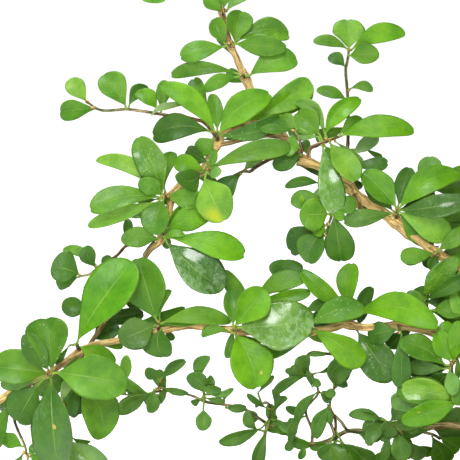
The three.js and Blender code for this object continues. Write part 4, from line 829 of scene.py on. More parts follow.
# The wood in front: where on the trunk it starts, or None where it forks off; its readings; its radii
FRONT_LIMBS = [
    ((12, 2, 126), [
        (78, -17, 2), (69, -11, 3), (62, -7, 3), (56, -2.5, 2), (53.5, -1.5, 1.5), (49.5, 2.5, 1),
        (44, 6.5, 0), (38, 10.5, 0), (35, 13.5, 0), (28, 18.5, 0), (23, 20.6, 0), (20.5, 21.3, 0),
    ], [
        4.2, 2.8, 1.9, 1.7, 1.8, 2.1, 2.3, 2.2, 2.1, 1.9, 1.8, 1.7, 1.6,
    ]),
    (None, [
        (20.5, 21.3, 0), (16.5, 27.5, -2), (12.5, 33, -3), (9.5, 37, -2), (6.2, 42, -0.5), (4.5, 46, 0),
        (3, 49, 0), (1.8, 52, 0), (0.5, 54.5, 0), (-1.2, 60, 0), (-1.8, 63, 0), (-3.2, 68, 0), (-3, 76, 0),
        (0, 85, -2),
    ], [
        1.5, 1.5, 1.5, 1.45, 1.4, 1.4, 1.2, 1.1, 1.1, 1, 0.95, 0.85, 0.8, 0.7,
    ]),
    (None, [
        (13.5, 31.6, -2.8), (6, 32.4, -4.5), (0, 30.5, -4), (-3.2, 28, -1.5), (-4, 25.5, 0), (-6, 22, 0),
        (-7.3, 18.5, 0), (-10, 16.8, 0), (-14, 14.2, 0), (-17, 10.5, 0), (-18, 7.5, 0), (-18.3, 4.5, 0),
        (-19, 2, 0), (-20.3, -0.5, 0), (-21, -3.5, 0), (-24, -6, -1.5), (-25.5, -8.2, -3.5), (-29, -15, -7),
        (-34, -22, -8), (-38.5, -29, -7), (-41.5, -33.5, -6), (-45, -39, -6.5), (-50.4, -48.6, -8),
    ], [
        1.5, 1.5, 1.5, 1.5, 1.5, 1.5, 1.5, 1.45, 1.4, 1.4, 1.3, 1.3, 1.25, 1.2, 1.1, 0.9, 0.9, 0.85, 0.8, 0.8,
        0.75, 0.7, 0.6,
    ]),
    (None, [
        (21.2, 21.6, 0), (19.5, 25.4, 2.5), (16, 27.7, 3.5), (12, 28.4, 3.5), (8.5, 28, 3), (3, 27, 2),
        (0, 26.2, 1), (-4, 25.5, 0),
    ], [
        0.9, 0.9, 0.9, 0.85, 0.85, 0.8, 0.8, 0.8,
    ]),
    ((17, 0, 101), [
        (84, -40, 0), (72, -32.5, 2), (60, -30.3, 2), (53, -29, 2), (49, -28.6, 2), (41, -29.2, 2),
        (34, -28.3, 2), (31, -29.3, 2), (24, -30.5, 1), (16, -31, -1), (8, -30.8, -1), (1.3, -30, 0),
        (-4, -29.6, 0), (-12, -28.8, 0), (-16, -29.3, 0), (-21.5, -30.5, 0), (-28, -32, 0), (-35.5, -33.5, 0),
        (-40.5, -34.3, 0), (-45.6, -36.6, 1), (-54, -42.9, 2), (-60, -46, 3), (-69, -51, 4), (-75, -55, 4),
    ], [
        3.4, 2.6, 1.8, 1.5, 1.35, 1.35, 1.3, 1.3, 1.3, 1.25, 1.2, 1.2, 1.2, 1.2, 1.15, 1.15, 1.1, 1.1, 1.1,
        1.1, 1.05, 1, 1.1, 1.2, 1.1,
    ]),
    ((22, 4, 66), [
        (84, -66, -30), (69, -59, -42), (58, -59.5, -45), (48, -61, -45), (36, -60.2, -45), (30, -63, -45),
        (24, -64.3, -45), (19, -62, -45), (13, -59.3, -45), (8, -56, -45), (4, -53.5, -45), (-1, -52.5, -45),
        (-7.4, -51.5, -45), (-12, -49.5, -45), (-20, -48.3, -45), (-27, -49.5, -45), (-32.5, -49.3, -45),
    ], [
        2.4, 2, 1.6, 1.3, 1.1, 1, 0.9, 0.9, 0.8, 0.8, 0.7, 0.7, 0.6, 0.6, 0.55, 0.5, 0.45, 0.45,
    ]),
]

# The sprays: name, readings of the stem, its radii at foot and tip, and the leaves. Each leaf has the
# place across and up of its foot and of its tip, its width as seen, how far its tip comes forward,
# its tone word and how far it bows sideways, in hundredths of its length.
SPRAYS = [
    ("twig_top_left", [
        (-4, 27.6, 0), (-7.5, 32, 1.5), (-10.5, 33.2, 2), (-14, 34, 2), (-20, 34.6, 1.5), (-24, 35.3, 1),
        (-30.6, 36.2, 0.5), (-34, 36, 0.5), (-37.5, 35.8, 0), (-40, 36.4, 0), (-42.6, 38.2, 0),
    ], (0.6, 0.42), [
        (-43.2, 38.6, -48.6, 45, 5.9, 2, "l", 6), (-40.2, 36.4, -51, 35.5, 6.5, -3, "ko", 0),
        (-31.3, 37.2, -38, 46.8, 8.4, 0, "m", 3), (-30.3, 37.2, -24.2, 42.9, 4.1, -2, "de", -18),
        (-22, 36.3, -28.3, 41.2, 4.9, 2, "be", 18), (-23.5, 34.6, -13.5, 38, 1.8, 3, "pe", -9),
        (-20.5, 36, -19.6, 45, 4.3, -2, "me", 0), (-6.5, 35, -11.2, 45.7, 5, -4, "m", 0),
    ]),
    ("spray_heart", [
        (-3.6, 26.6, 0), (-4, 28.2, 3.5), (-4, 29.4, 5),
    ], (0.8, 0.6), [
        (-4.4, 29, -21, 43.8, 6.5, 3, "bo", 12), (-3.8, 30, -5.4, 40.9, 4.6, 0, "me", 3),
        (-3.2, 29, 12.2, 40.9, 8.7, 2, "be", -12), (-6, 29.5, -23.4, 28.5, 8.4, 1, "v", 12),
        (-3.3, 28.4, 15, 34, 5.5, 0, "d.e", 12), (-4.9, 27.4, -9.8, 23.2, 5.8, 2, "me", -3),
    ]),
    ("spray_limb_mid", [
        (4.4, 46, 0), (4.1, 46.2, 2.6), (3.6, 46.4, 4.2),
    ], (0.7, 0.5), [
        (2, 47, -18, 46.5, 4.5, -1, "m", 9), (1.8, 45.8, -8, 41.7, 4.3, 2, "me", 9),
        (5.8, 46.2, 20.2, 51.4, 8.6, 0, "m", -12),
    ]),
    ("spray_limb_high", [
        (0.3, 55, 0), (0.2, 55.4, 2.6), (0, 55.7, 3.8),
    ], (0.7, 0.5), [
        (-1.7, 55, -15, 52, 6.4, 2, "m", 3), (-1.6, 56, -4.5, 63.7, 5.4, 0, "m/e", -6),
        (1.5, 56.2, 3.6, 65.7, 8.1, -1, "m/o", -6), (2.2, 56.6, 17.9, 58.7, 7.3, -3, "m*", -15),
        (1.8, 55.8, 17, 54.5, 6.2, 3, "me", 0),
    ]),
    ("spray_limb_top", [
        (-2.3, 64.8, 0), (-2.2, 65, 2.6), (-2, 65.4, 3.8),
    ], (0.6, 0.45), [
        (-2.4, 65.4, -7.2, 71.2, 5.6, 1, "mo", -6), (-1, 65.6, 6.2, 72.5, 5, 0, "g", -9),
        (-2, 66.5, -2.5, 79, 6, 4, "me", 6),
    ]),
    ("spray_top_edge", [
        (-3, 75.5, 0), (-8, 75.8, 2), (-14, 74.6, 3), (-18, 74.6, 3),
    ], (0.6, 0.4), [
        (-16.5, 73.8, -27, 70, 5.5, 1, "be", -18), (-18, 75, -30, 79, 6.5, 2, "m", 0),
        (-14, 75.5, -19, 87, 6, -2, "m", 0), (-9, 76.5, -11, 88, 6.5, 2, "m", 0),
    ]),
    ("spray_hidden_limb", [
        (3.5, 32, -4.3), (3.6, 32.4, -1), (3.8, 32.6, 1.5),
    ], (0.8, 0.55), [
        (4.4, 32.6, 25.8, 41.3, 6.5, 2, "be", 0), (6, 33.5, 24.4, 44.4, 8.2, -2, "l", 3),
    ]),
    ("twig_right_up", [
        (35.6, 12.6, 0), (35.8, 18, -3), (35.3, 24, -4), (35.4, 27, -4), (35.5, 34, -2), (35.3, 40, 0),
        (34.7, 48, 0), (35.2, 50.5, 0), (35.5, 52.5, 0), (35.6, 54, 0),
    ], (0.7, 0.4), [
        (34.8, 39.3, 26, 42.2, 3.7, 1, "me", 6), (35.2, 54.3, 24.9, 56.7, 3.7, 3, "mo", 9),
        (35.7, 54.6, 35.3, 63.4, 9.9, -2, "le", 0), (36.3, 53.9, 52.6, 59.3, 5.9, 2, "bo", -12),
        (35.8, 52.3, 44.8, 52.3, 6.4, 3, "me", -3), (34.4, 49, 29.5, 52.2, 4, 1, "d", 12),
        (36, 42.3, 43, 42, 3.2, 2, "m", -15), (36.5, 22.5, 44.7, 28, 4.3, -2, "pe", -6),
        (36.6, 19.6, 47.5, 20, 4.5, 1, "d", 3),
    ]),
    ("twig_fork_right", [
        (23.4, 20.8, 0), (24, 24.4, 2.4), (26, 25.4, 3.4), (28.5, 26.5, 3.8), (31, 27.5, 3.8),
        (32.8, 28, 3.8),
    ], (0.75, 0.5), [
        (26.5, 28, 17.4, 29.8, 4.1, 2, "g", -6), (26.8, 28.7, 19.9, 35.4, 8.7, -1, "me", 0),
        (28.4, 29, 19.4, 38.6, 4.3, -4, "ge", 18), (28.6, 28.8, 39.2, 39.5, 5.5, 3, "b/e", -15),
        (33, 28.7, 39.8, 33.3, 4, -2, "me", -12), (32.8, 28.1, 55.4, 30, 7, 2, "be", -9),
        (27.8, 25, 31.9, 4.9, 8.1, 5, "m**", 0), (28.4, 25.2, 34.5, 17.5, 5, 1, "se", 0),
        (30, 26, 38, 14.7, 8.1, 4, "l", 0), (31.5, 26.6, 40, 20.5, 1.8, -1, "p", 0),
    ]),
    ("twig_fork_left", [
        (21, 22.2, 0), (21.4, 23.4, 2.6), (21.6, 24.2, 4.6), (20.8, 27, 6.4), (19.6, 29.6, 6.4),
    ], (0.75, 0.45), [
        (21.4, 22.6, 12.8, 19, 5.6, -1, "de", 0), (21.2, 24.6, 16.5, 24.8, 6.1, 1, "m", 15),
        (19, 30, 8.8, 30.3, 3, 1, "ke", 0), (20, 30.6, 14.7, 33.3, 5, -1, "m*e", 12),
    ]),
    ("spray_bend", [
        (-7.2, 18.2, 0), (-7, 18, 3), (-6.8, 17.8, 4.6),
    ], (0.8, 0.6), [
        (-7.8, 18, -16.8, 20.3, 5.6, 2, "b", 6), (-6.8, 20.5, -13.2, 24, 5.8, 0, "de", 0),
        (-9, 17.2, -16.3, 15.6, 6.9, 0, "de", -18), (-6.4, 16.9, -2.5, 17.6, 3.6, 2, "ge", 6),
        (-6, 18.4, -4.5, 24.3, 2.5, 2, "me", 3), (-6.3, 18.3, 18.4, 24.9, 6.3, 2, "m", -6),
        (-7.6, 15.5, -2.2, 2.6, 11.8, 3, "l%e", 0),
    ]),
    ("twig_inner", [
        (21.5, 20.6, 0), (16, 22.2, -3), (12, 21.2, -3.5), (8, 19, -3.5), (6, 17.5, -3.5), (4, 17.6, -3.5),
        (0, 15.7, -3), (-3, 14.6, -3),
    ], (0.75, 0.45), [
        (4.2, 18, 9.5, 21.5, 3.8, -3, "ge", -6), (3.5, 16.8, -2.5, 8.3, 6.5, -1, "do", 18),
    ]),
    ("spray_elbow", [
        (-17.2, 10.2, 0), (-18.8, 10.4, 3), (-19.8, 10.3, 4.4),
    ], (0.8, 0.6), [
        (-20.4, 11, -28, 27.8, 9.3, 2, "m*.e", 6), (-21, 10.8, -40.2, 21.2, 5, -1, "lo", 15),
        (-20.8, 10.5, -27.2, 15, 5.6, 4, "me", 6), (-20.8, 9.8, -42.2, 6, 7.5, 3, "m", 9),
        (-21.5, 8.5, -43, 1.2, 4.6, -3, "le", 0), (-20, 9, -22.7, -1.5, 8.7, 2, "me", 6),
        (-19, 10.2, -8.7, 9.8, 6.8, 1, "m", 3), (-19.6, 12, -17, 23.4, 5, -1, "m", -12),
    ]),
    ("spray_lower", [
        (-20.2, -1, 0), (-20, -1.6, 2.8), (-19.8, -2, 4),
    ], (0.75, 0.6), [
        (-19, -0.5, -5.5, 5, 7.5, 3, "be", -9), (-21.7, -2.6, -32.8, -2.7, 6.3, 2, "me", 6),
        (-18, -2.3, 4.7, -6.8, 8.1, 2, "b", -3), (-18.8, -4, -2, -17.8, 11.9, 2, "d**", 3),
        (-19, 0.6, -12, 8, 3, -1, "me", -6),
    ]),
    ("twig_left", [
        (-21.4, -2.6, -0.6), (-26, -3.4, -2.5), (-31, -4.7, -3), (-34, -7.7, -3), (-38, -10, -3),
        (-42, -13.2, -3), (-44.8, -13.8, -3),
    ], (0.65, 0.4), [
        (-45.3, -13.3, -53.7, -11, 9.7, 2, "de", 6), (-45.4, -14.2, -51.7, -17.2, 5.2, -3, "ke", 18),
        (-41.2, -9.5, -50.3, -5.6, 3.3, -2, "me", 12), (-40.5, -11, -43.3, -4.8, 5.2, 2, "d", -9),
        (-38.6, -10.6, -35.9, -7.8, 2.6, 1, "de", 0), (-30.6, -4.2, -30.6, 3.4, 3, -1, "do", 0),
    ]),
    ("spray_lower_limb", [
        (-21.4, -30.4, 0), (-21.4, -29, 2.6), (-21.4, -27.8, 3.6),
    ], (0.8, 0.6), [
        (-22.2, -26.6, -27.5, -8.2, 13, 2, "ke", 0), (-21, -27, -17.8, -17.8, 3.4, -1, "m", -18),
        (-20.6, -28, 0.5, -27.6, 5.5, -1, "me", -12), (-20.6, -29.6, -19.7, -38.2, 9, -1, "de", 18),
        (-22.6, -28.6, -33.3, -33.1, 9.9, 3, "qe", 0),
    ]),
    ("spray_big_leaf", [
        (-45, -36.4, 1), (-45.8, -34.8, 4), (-45.9, -34.1, 5),
    ], (0.75, 0.55), [
        (-45.6, -33, -29, -9.5, 14, 2, "s", -3), (-45, -35, -34.5, -40, 6.5, 1, "be", 0),
    ]),
    ("spray_behind_big_leaf", [
        (-35.6, -24.4, -7.6), (-37.5, -24.6, -5), (-39.4, -24.4, -4),
    ], (0.6, 0.45), [
        (-42.5, -24, -50.5, -22.3, 6.2, 0, "de", 3), (-39.6, -23.6, -43.7, -16.8, 3.7, -2, "ve", 18),
    ]),
    ("spray_left_end", [
        (-54, -42.8, 2), (-54.4, -43.2, 5.4), (-54.2, -43, 8.6),
    ], (0.9, 0.7), [
        (-53.4, -42, -55.3, -26.2, 12.8, -2, "k/.", 3), (-54.4, -42, -61.7, -31, 7, 1, "d.e", 0),
        (-54.8, -43, -72, -41, 10.4, 2, "me", 3), (-53.6, -45, -52, -73, 13, 4, "d*!e", 0),
        (-52, -42.8, -30.5, -46.6, 12.8, 3, "me", -3), (-58.6, -45.6, -69, -46.4, 4, -6, "go", 0),
        (-57.6, -46.4, -64, -57.6, 11.2, -7, "de", 0),
    ]),
    ("spray_left_under", [
        (-46.6, -41.6, -7), (-46.2, -43.6, -3.6), (-46, -45, -2.6),
    ], (0.6, 0.5), [
        (-45, -46, -38.2, -62.7, 11.2, 2, "me", -15), (-46.4, -45.6, -50.3, -50.2, 3.7, 2, "pe", 18),
        (-45.6, -46.4, -47.5, -56, 4, -3, "ve", 0),
    ]),
    ("twig_bottom_left", [
        (-66, -49.2, 3.6), (-65.6, -51.4, 2), (-64.4, -58, -3), (-61.6, -64.6, -4.5), (-60.8, -68, -4.5),
    ], (0.65, 0.4), [
        (-65.4, -52, -71.5, -66, 6.5, 3, "k", 6), (-62.4, -65, -69.3, -61.8, 5.2, 1, "se", 9),
        (-60.6, -68.4, -62, -80, 7, 1, "d", 0), (-60, -67, -52.4, -72.4, 7, -2, "se", 0),
        (-62, -66.6, -70.4, -73.3, 4.7, 0, "k", -18),
    ]),
    ("spray_bottom_left", [
        (-50.2, -48.2, -7.9), (-50.4, -53, -7), (-50, -59, -5.6), (-49, -62.6, -5),
    ], (0.6, 0.45), [
        (-48.4, -63.4, -36.1, -73, 9, 2, "g*e", 0), (-49.2, -64, -46, -76, 7.5, 0, "s", 0),
        (-50, -60.6, -57, -67.6, 6, -3, "d", 0), (-50.2, -51.6, -44.9, -54.8, 4.7, -3, "s", 0),
    ]),
    ("spray_far_left", [
        (-74.6, -54.7, 4), (-78, -57.5, 5), (-82, -59.6, 5), (-85, -60.4, 5),
    ], (0.9, 0.45), [
        (-78, -57, -83, -44, 8, 2, "m", 0), (-79, -58.6, -76, -71, 7.5, 3, "k", 0),
        (-82, -59, -92, -50, 7.5, -3, "m", 0), (-82.6, -60.4, -86, -73, 7.5, -3, "m", 0),
        (-85.6, -60.2, -99, -58, 7, 4, "l", 0), (-85.4, -60.8, -96.5, -67.5, 6.5, -2, "m", 0),
    ]),
    ("spray_centre", [
        (1.3, -30, 0), (1.3, -29.8, 3), (1.3, -29.6, 4.6),
    ], (0.9, 0.7), [
        (0.9, -28.4, 0.6, -17.5, 5.9, -2, "me", 0), (1.6, -28.6, 10.3, -17.5, 10, 3, "b/", 0),
        (2.8, -29.2, 25.4, -26.4, 14.6, 1, "m**e", 3), (1.6, -31.4, 8.3, -47.6, 13, 3, "b!e", -6),
        (0.2, -30.6, -8.8, -31.9, 3.4, -2, "mo", 18),
    ]),
    ("twig_centre_up", [
        (3.4, -30.4, -0.6), (5, -26, -3.6), (7, -21, -4), (12, -18.8, -4), (16, -18.2, -4),
    ], (0.65, 0.4), [
        (6.2, -20.6, -1.9, -12.4, 5.2, 0, "me", -9), (7.6, -20, 23, -14.3, 6.2, 3, "mo", -9),
        (16.6, -17.6, 16.5, -8.7, 10.4, -1, "d", 0), (7.6, -21.6, 24.3, -18.6, 4.1, 4, "b", 0),
        (5.6, -24, 13.6, -24.2, 5, -2, "m", 0),
    ]),
    ("spray_centre_right", [
        (24, -30.4, 1), (24, -29.8, 4), (24, -29.6, 5.4),
    ], (0.75, 0.6), [
        (24.4, -31.4, 8.5, -37.6, 5.4, -2, "k", 0), (24.8, -29.8, 40.5, -39.8, 8.6, 3, "b", -3),
        (24.2, -28.4, 40.5, -23.6, 7.8, 1, "k.e", -12),
    ]),
    ("spray_knob", [
        (36.4, -28.6, 2), (36.4, -27, -0.4), (36.4, -26, -1.6),
    ], (0.85, 0.6), [
        (35, -23.4, 21, -12, 5.5, 2, "be", -3), (36.2, -24, 36.2, -9.8, 6.5, 0, "b", -9),
        (38.6, -26.8, 42.8, -17, 4.5, -3, "ve", -9), (38, -25.4, 63, -28.5, 9.3, 6, "bo", -15),
        (34.6, -27, 24, -26.6, 5.4, -2, "d", 0), (38.4, -30.6, 48.7, -45.4, 10.8, 1, "d*.e", 0),
    ]),
    ("spray_right_low", [
        (50.6, -28.7, 2), (50.8, -29.4, 5), (50.8, -30.2, 6),
    ], (0.7, 0.5), [
        (51.4, -31, 51.4, -47.5, 6, -1, "d", 0),
    ]),
    ("twig_middle", [
        (29, 18, 1), (27.4, 15, 4), (28.5, 10, 6), (30.5, 5.3, 6.5), (29.6, 1.8, 6), (28.8, -1.2, 5.6),
    ], (0.65, 0.4), [
        (26.7, 14, 16.5, 12.8, 3.2, 1, "de", 12), (28.8, 7.4, 18.1, 9.1, 5.9, 0, "mo", 3),
        (29.3, 8.4, 26.4, 13, 3.7, 3, "g", -12), (29.4, 4.8, 21, 4.5, 10, 2, "me", 0),
        (28.8, 1.4, 24.2, 0.7, 6.9, 3, "be", 0), (31, 5.8, 38, 8.6, 5.3, 1, "m", 3),
        (28.2, -0.6, 23.5, -10.1, 8.4, 2, "de", 15), (27.6, 0.2, 18.1, -6.4, 7.6, -3, "vo", 12),
        (31.2, 4.4, 33.4, -10, 9, -2, "de", 0),
    ]),
    ("spray_limb_right", [
        (49.8, 2.6, 1), (50, 4.6, 4), (50.3, 5.8, 5),
    ], (0.8, 0.6), [
        (49.7, 7, 39.5, 17.3, 8, 2, "m/e", 3), (50.5, 7.4, 53.7, 19.1, 6, -2, "de", 0),
        (50.8, 6.4, 69, 17, 8, 2, "be", -15), (51, 5.9, 72, 9.4, 7, 5, "d*e", 3),
        (50.8, 5.3, 66, -2, 8.6, 3, "l", 0), (48.8, 5, 34.3, 2.9, 5.4, 4, "q", 0),
    ]),
    ("spray_limb_back", [
        (60.8, -6.2, 3), (60.6, -3.4, -0.6), (60.4, 3, -3), (60, 12, -4),
    ], (0.7, 0.45), [
        (60.2, 13.6, 60, 22.2, 7.5, 0, "ge", 0), (60.6, 13, 72, 18.6, 4.5, -2, "me", 0),
        (60.6, 4, 71.5, 2.4, 6, -2, "m", 0), (59.8, 7, 54.6, 12.6, 5, -2, "m", 0),
    ]),
    ("spray_limb_under", [
        (62.4, -7.4, 3), (62.2, -7.2, 6), (62, -7, 7),
    ], (0.7, 0.55), [
        (62.6, -6, 71, 0.6, 5, 2, "me", 0), (61.2, -7, 51, -8.3, 5, 1, "m", 0),
        (61.8, -7.6, 60, -12, 3.7, 1, "de", 0),
    ]),
    ("twig_right_rising", [
        (61.4, -30.4, 2), (60.4, -26.6, 4), (59, -23, 4), (58, -21.4, 4),
    ], (0.7, 0.5), [
        (58, -20.6, 68.6, -8, 7, 2, "m*e", -6), (58.6, -20.8, 71, -13.4, 5, 5, "d", 0),
        (58.4, -22.2, 53, -18.7, 3.7, 1, "me", 0), (60.8, -24, 71, -23.2, 6, 2, "me", 0),
        (60.6, -25, 70.4, -18.4, 4, -2, "m", 0),
    ]),
    ("twig_right_drooping", [
        (72, -32.6, 2), (69.8, -36, 5), (66.6, -40.2, 6), (67, -45, 6), (68.6, -50.4, 5.4),
    ], (0.75, 0.5), [
        (64.6, -40.6, 50.7, -33.4, 7.4, 2, "m", 9), (66, -39.4, 62.4, -30, 6.5, 2, "be", -3),
        (67, -39.4, 69, -27, 6, 4, "b", 0), (65.8, -42, 67, -49.6, 4.5, 4, "ge", 0),
        (64.4, -41.6, 53.5, -41, 5, -3, "q", 0), (67.4, -49.6, 51.5, -47.4, 9, 2, "l*o", 0),
        (68, -51.6, 51.5, -57.4, 7.5, 2, "b!e", 0), (66.4, -51.4, 48, -52.4, 6, -5, "ge", 0),
    ]),
    ("back_twig_left", [
        (-7.6, -51.4, -45), (-7.8, -49, -43), (-8.2, -47, -42),
    ], (0.5, 0.35), [
        (-9, -46, -6.4, -37.7, 4.6, 0, "w", -18), (-7.4, -46.6, -5.7, -43.9, 3.4, 1, "we", 12),
        (-6, -49.4, 1.1, -47.4, 2.2, 0, "we", 12), (-8, -53.8, -8.3, -60.3, 5.4, 2, "we", -3),
        (-9, -51, -11.8, -51.4, 2.5, 2, "we", -12),
    ]),
    ("back_twig_left_end", [
        (-21, -48.5, -45), (-21.2, -46.8, -43), (-21, -45.6, -42),
    ], (0.5, 0.35), [
        (-21.6, -44.6, -25.3, -41.6, 4, 1, "we", 0), (-20.6, -44.6, -13.2, -39.1, 3.7, 0, "we", -6),
        (-20, -47.4, -12.5, -48.9, 2.6, 2, "we", 0), (-23, -48, -24, -55, 4.4, 1, "we", -6),
        (-24, -49, -34, -55, 5, 3, "wo", 3),
    ]),
    ("back_twig_middle", [
        (11.6, -58.4, -45), (11.8, -56.4, -42.6), (12.4, -54, -41.6),
    ], (0.5, 0.35), [
        (12.8, -54, 13, -47.7, 2.6, 1, "w", 18), (11, -53.4, 5, -49.2, 2.2, 2, "w", -3),
        (11.2, -60, 7.8, -71.5, 4.6, 1, "w", 6), (9.4, -59.4, -3.2, -64, 4.6, 3, "wo", 0),
        (13.4, -55, 17, -50, 2.7, -2, "w", -18), (13.6, -57, 20, -59, 4, 2, "w", 18),
    ]),
    ("back_twig_rising", [
        (24.6, -64.2, -45), (24.6, -60, -42), (22.8, -54, -41), (26.4, -48.8, -41), (24.6, -43.4, -41),
    ], (0.6, 0.35), [
        (23.4, -43.6, 12.8, -49.4, 3.3, 2, "w", 9), (23.4, -42.4, 20, -38.4, 5.4, 1, "w", 12),
        (22.4, -43, 16.4, -42, 2.4, -2, "wo", 0), (25, -44.4, 27.1, -46.8, 2.8, 2, "we", 6),
        (22.4, -54, 16.7, -53.3, 3, 2, "we", -9), (22, -56, 18, -63.6, 3.5, 2, "w", 18),
        (25.4, -43, 32.3, -37.1, 2.2, -1, "w", 18), (28, -49, 31.6, -49.3, 3.2, 0, "w", -6),
    ]),
    ("back_twig_right", [
        (31.6, -62.2, -45), (31.6, -57, -42), (30, -52.6, -41), (31.2, -47.4, -41),
    ], (0.6, 0.35), [
        (31.2, -46.6, 31.6, -38.8, 4.6, 1, "we", -3), (32, -47, 36.4, -41, 5, 2, "we", -15),
        (29.4, -53, 25.4, -62.6, 5.1, 2, "we", 9), (30, -64.4, 34, -70, 6, 2, "w", 0),
        (34, -64, 42.8, -70.6, 7.6, 2, "w", 0), (33, -62.6, 38.6, -68.6, 5, -2, "w", 15),
    ]),
    ("back_twig_far_right", [
        (50, -60.8, -45), (49, -59, -42.6), (47.4, -57.6, -42),
    ], (0.6, 0.4), [
        (45.6, -57, 36, -55, 4, 2, "we", 6), (48, -57.4, 50.8, -50.7, 5.2, 1, "wo", 18),
        (48.4, -58.6, 57, -58, 5, 3, "we", -3), (47, -58.8, 41, -64.4, 5, 3, "we", 15),
        (49.6, -60.6, 52.2, -69.4, 7, 3, "w", 0), (51.4, -61, 59.3, -67.4, 5, -2, "w", 18),
        (47.8, -60.4, 46, -70, 3.4, 0, "w", 0),
    ]),
]

# Thin side twigs far back, as readings
SIDE_TWIGS = [
    [(31.2, -55.5, -42), (33.4, -57.6, -42.5), (35.2, -60, -43), (38, -60.7, -43.5), (42, -60, -44.5)],
    [(30, -57.5, -42), (31.1, -60.5, -43), (31.8, -63, -44.5)],
    [(7.6, -53, -43.5), (9.4, -52.1, -43), (11.4, -52, -42.4), (12.4, -55, -42)],
    [(11.2, -58.2, -44.5), (10.6, -60.5, -44), (10.2, -62.4, -43.5)],
    [(22.6, -43, -41), (23, -38, -41), (25, -36.6, -41), (28, -37, -41), (32, -37.6, -41), (35, -39.6, -40)],
    [(57, -59.4, -45), (58, -60.6, -44), (61, -61.4, -43.5), (63, -62.6, -43)],
]

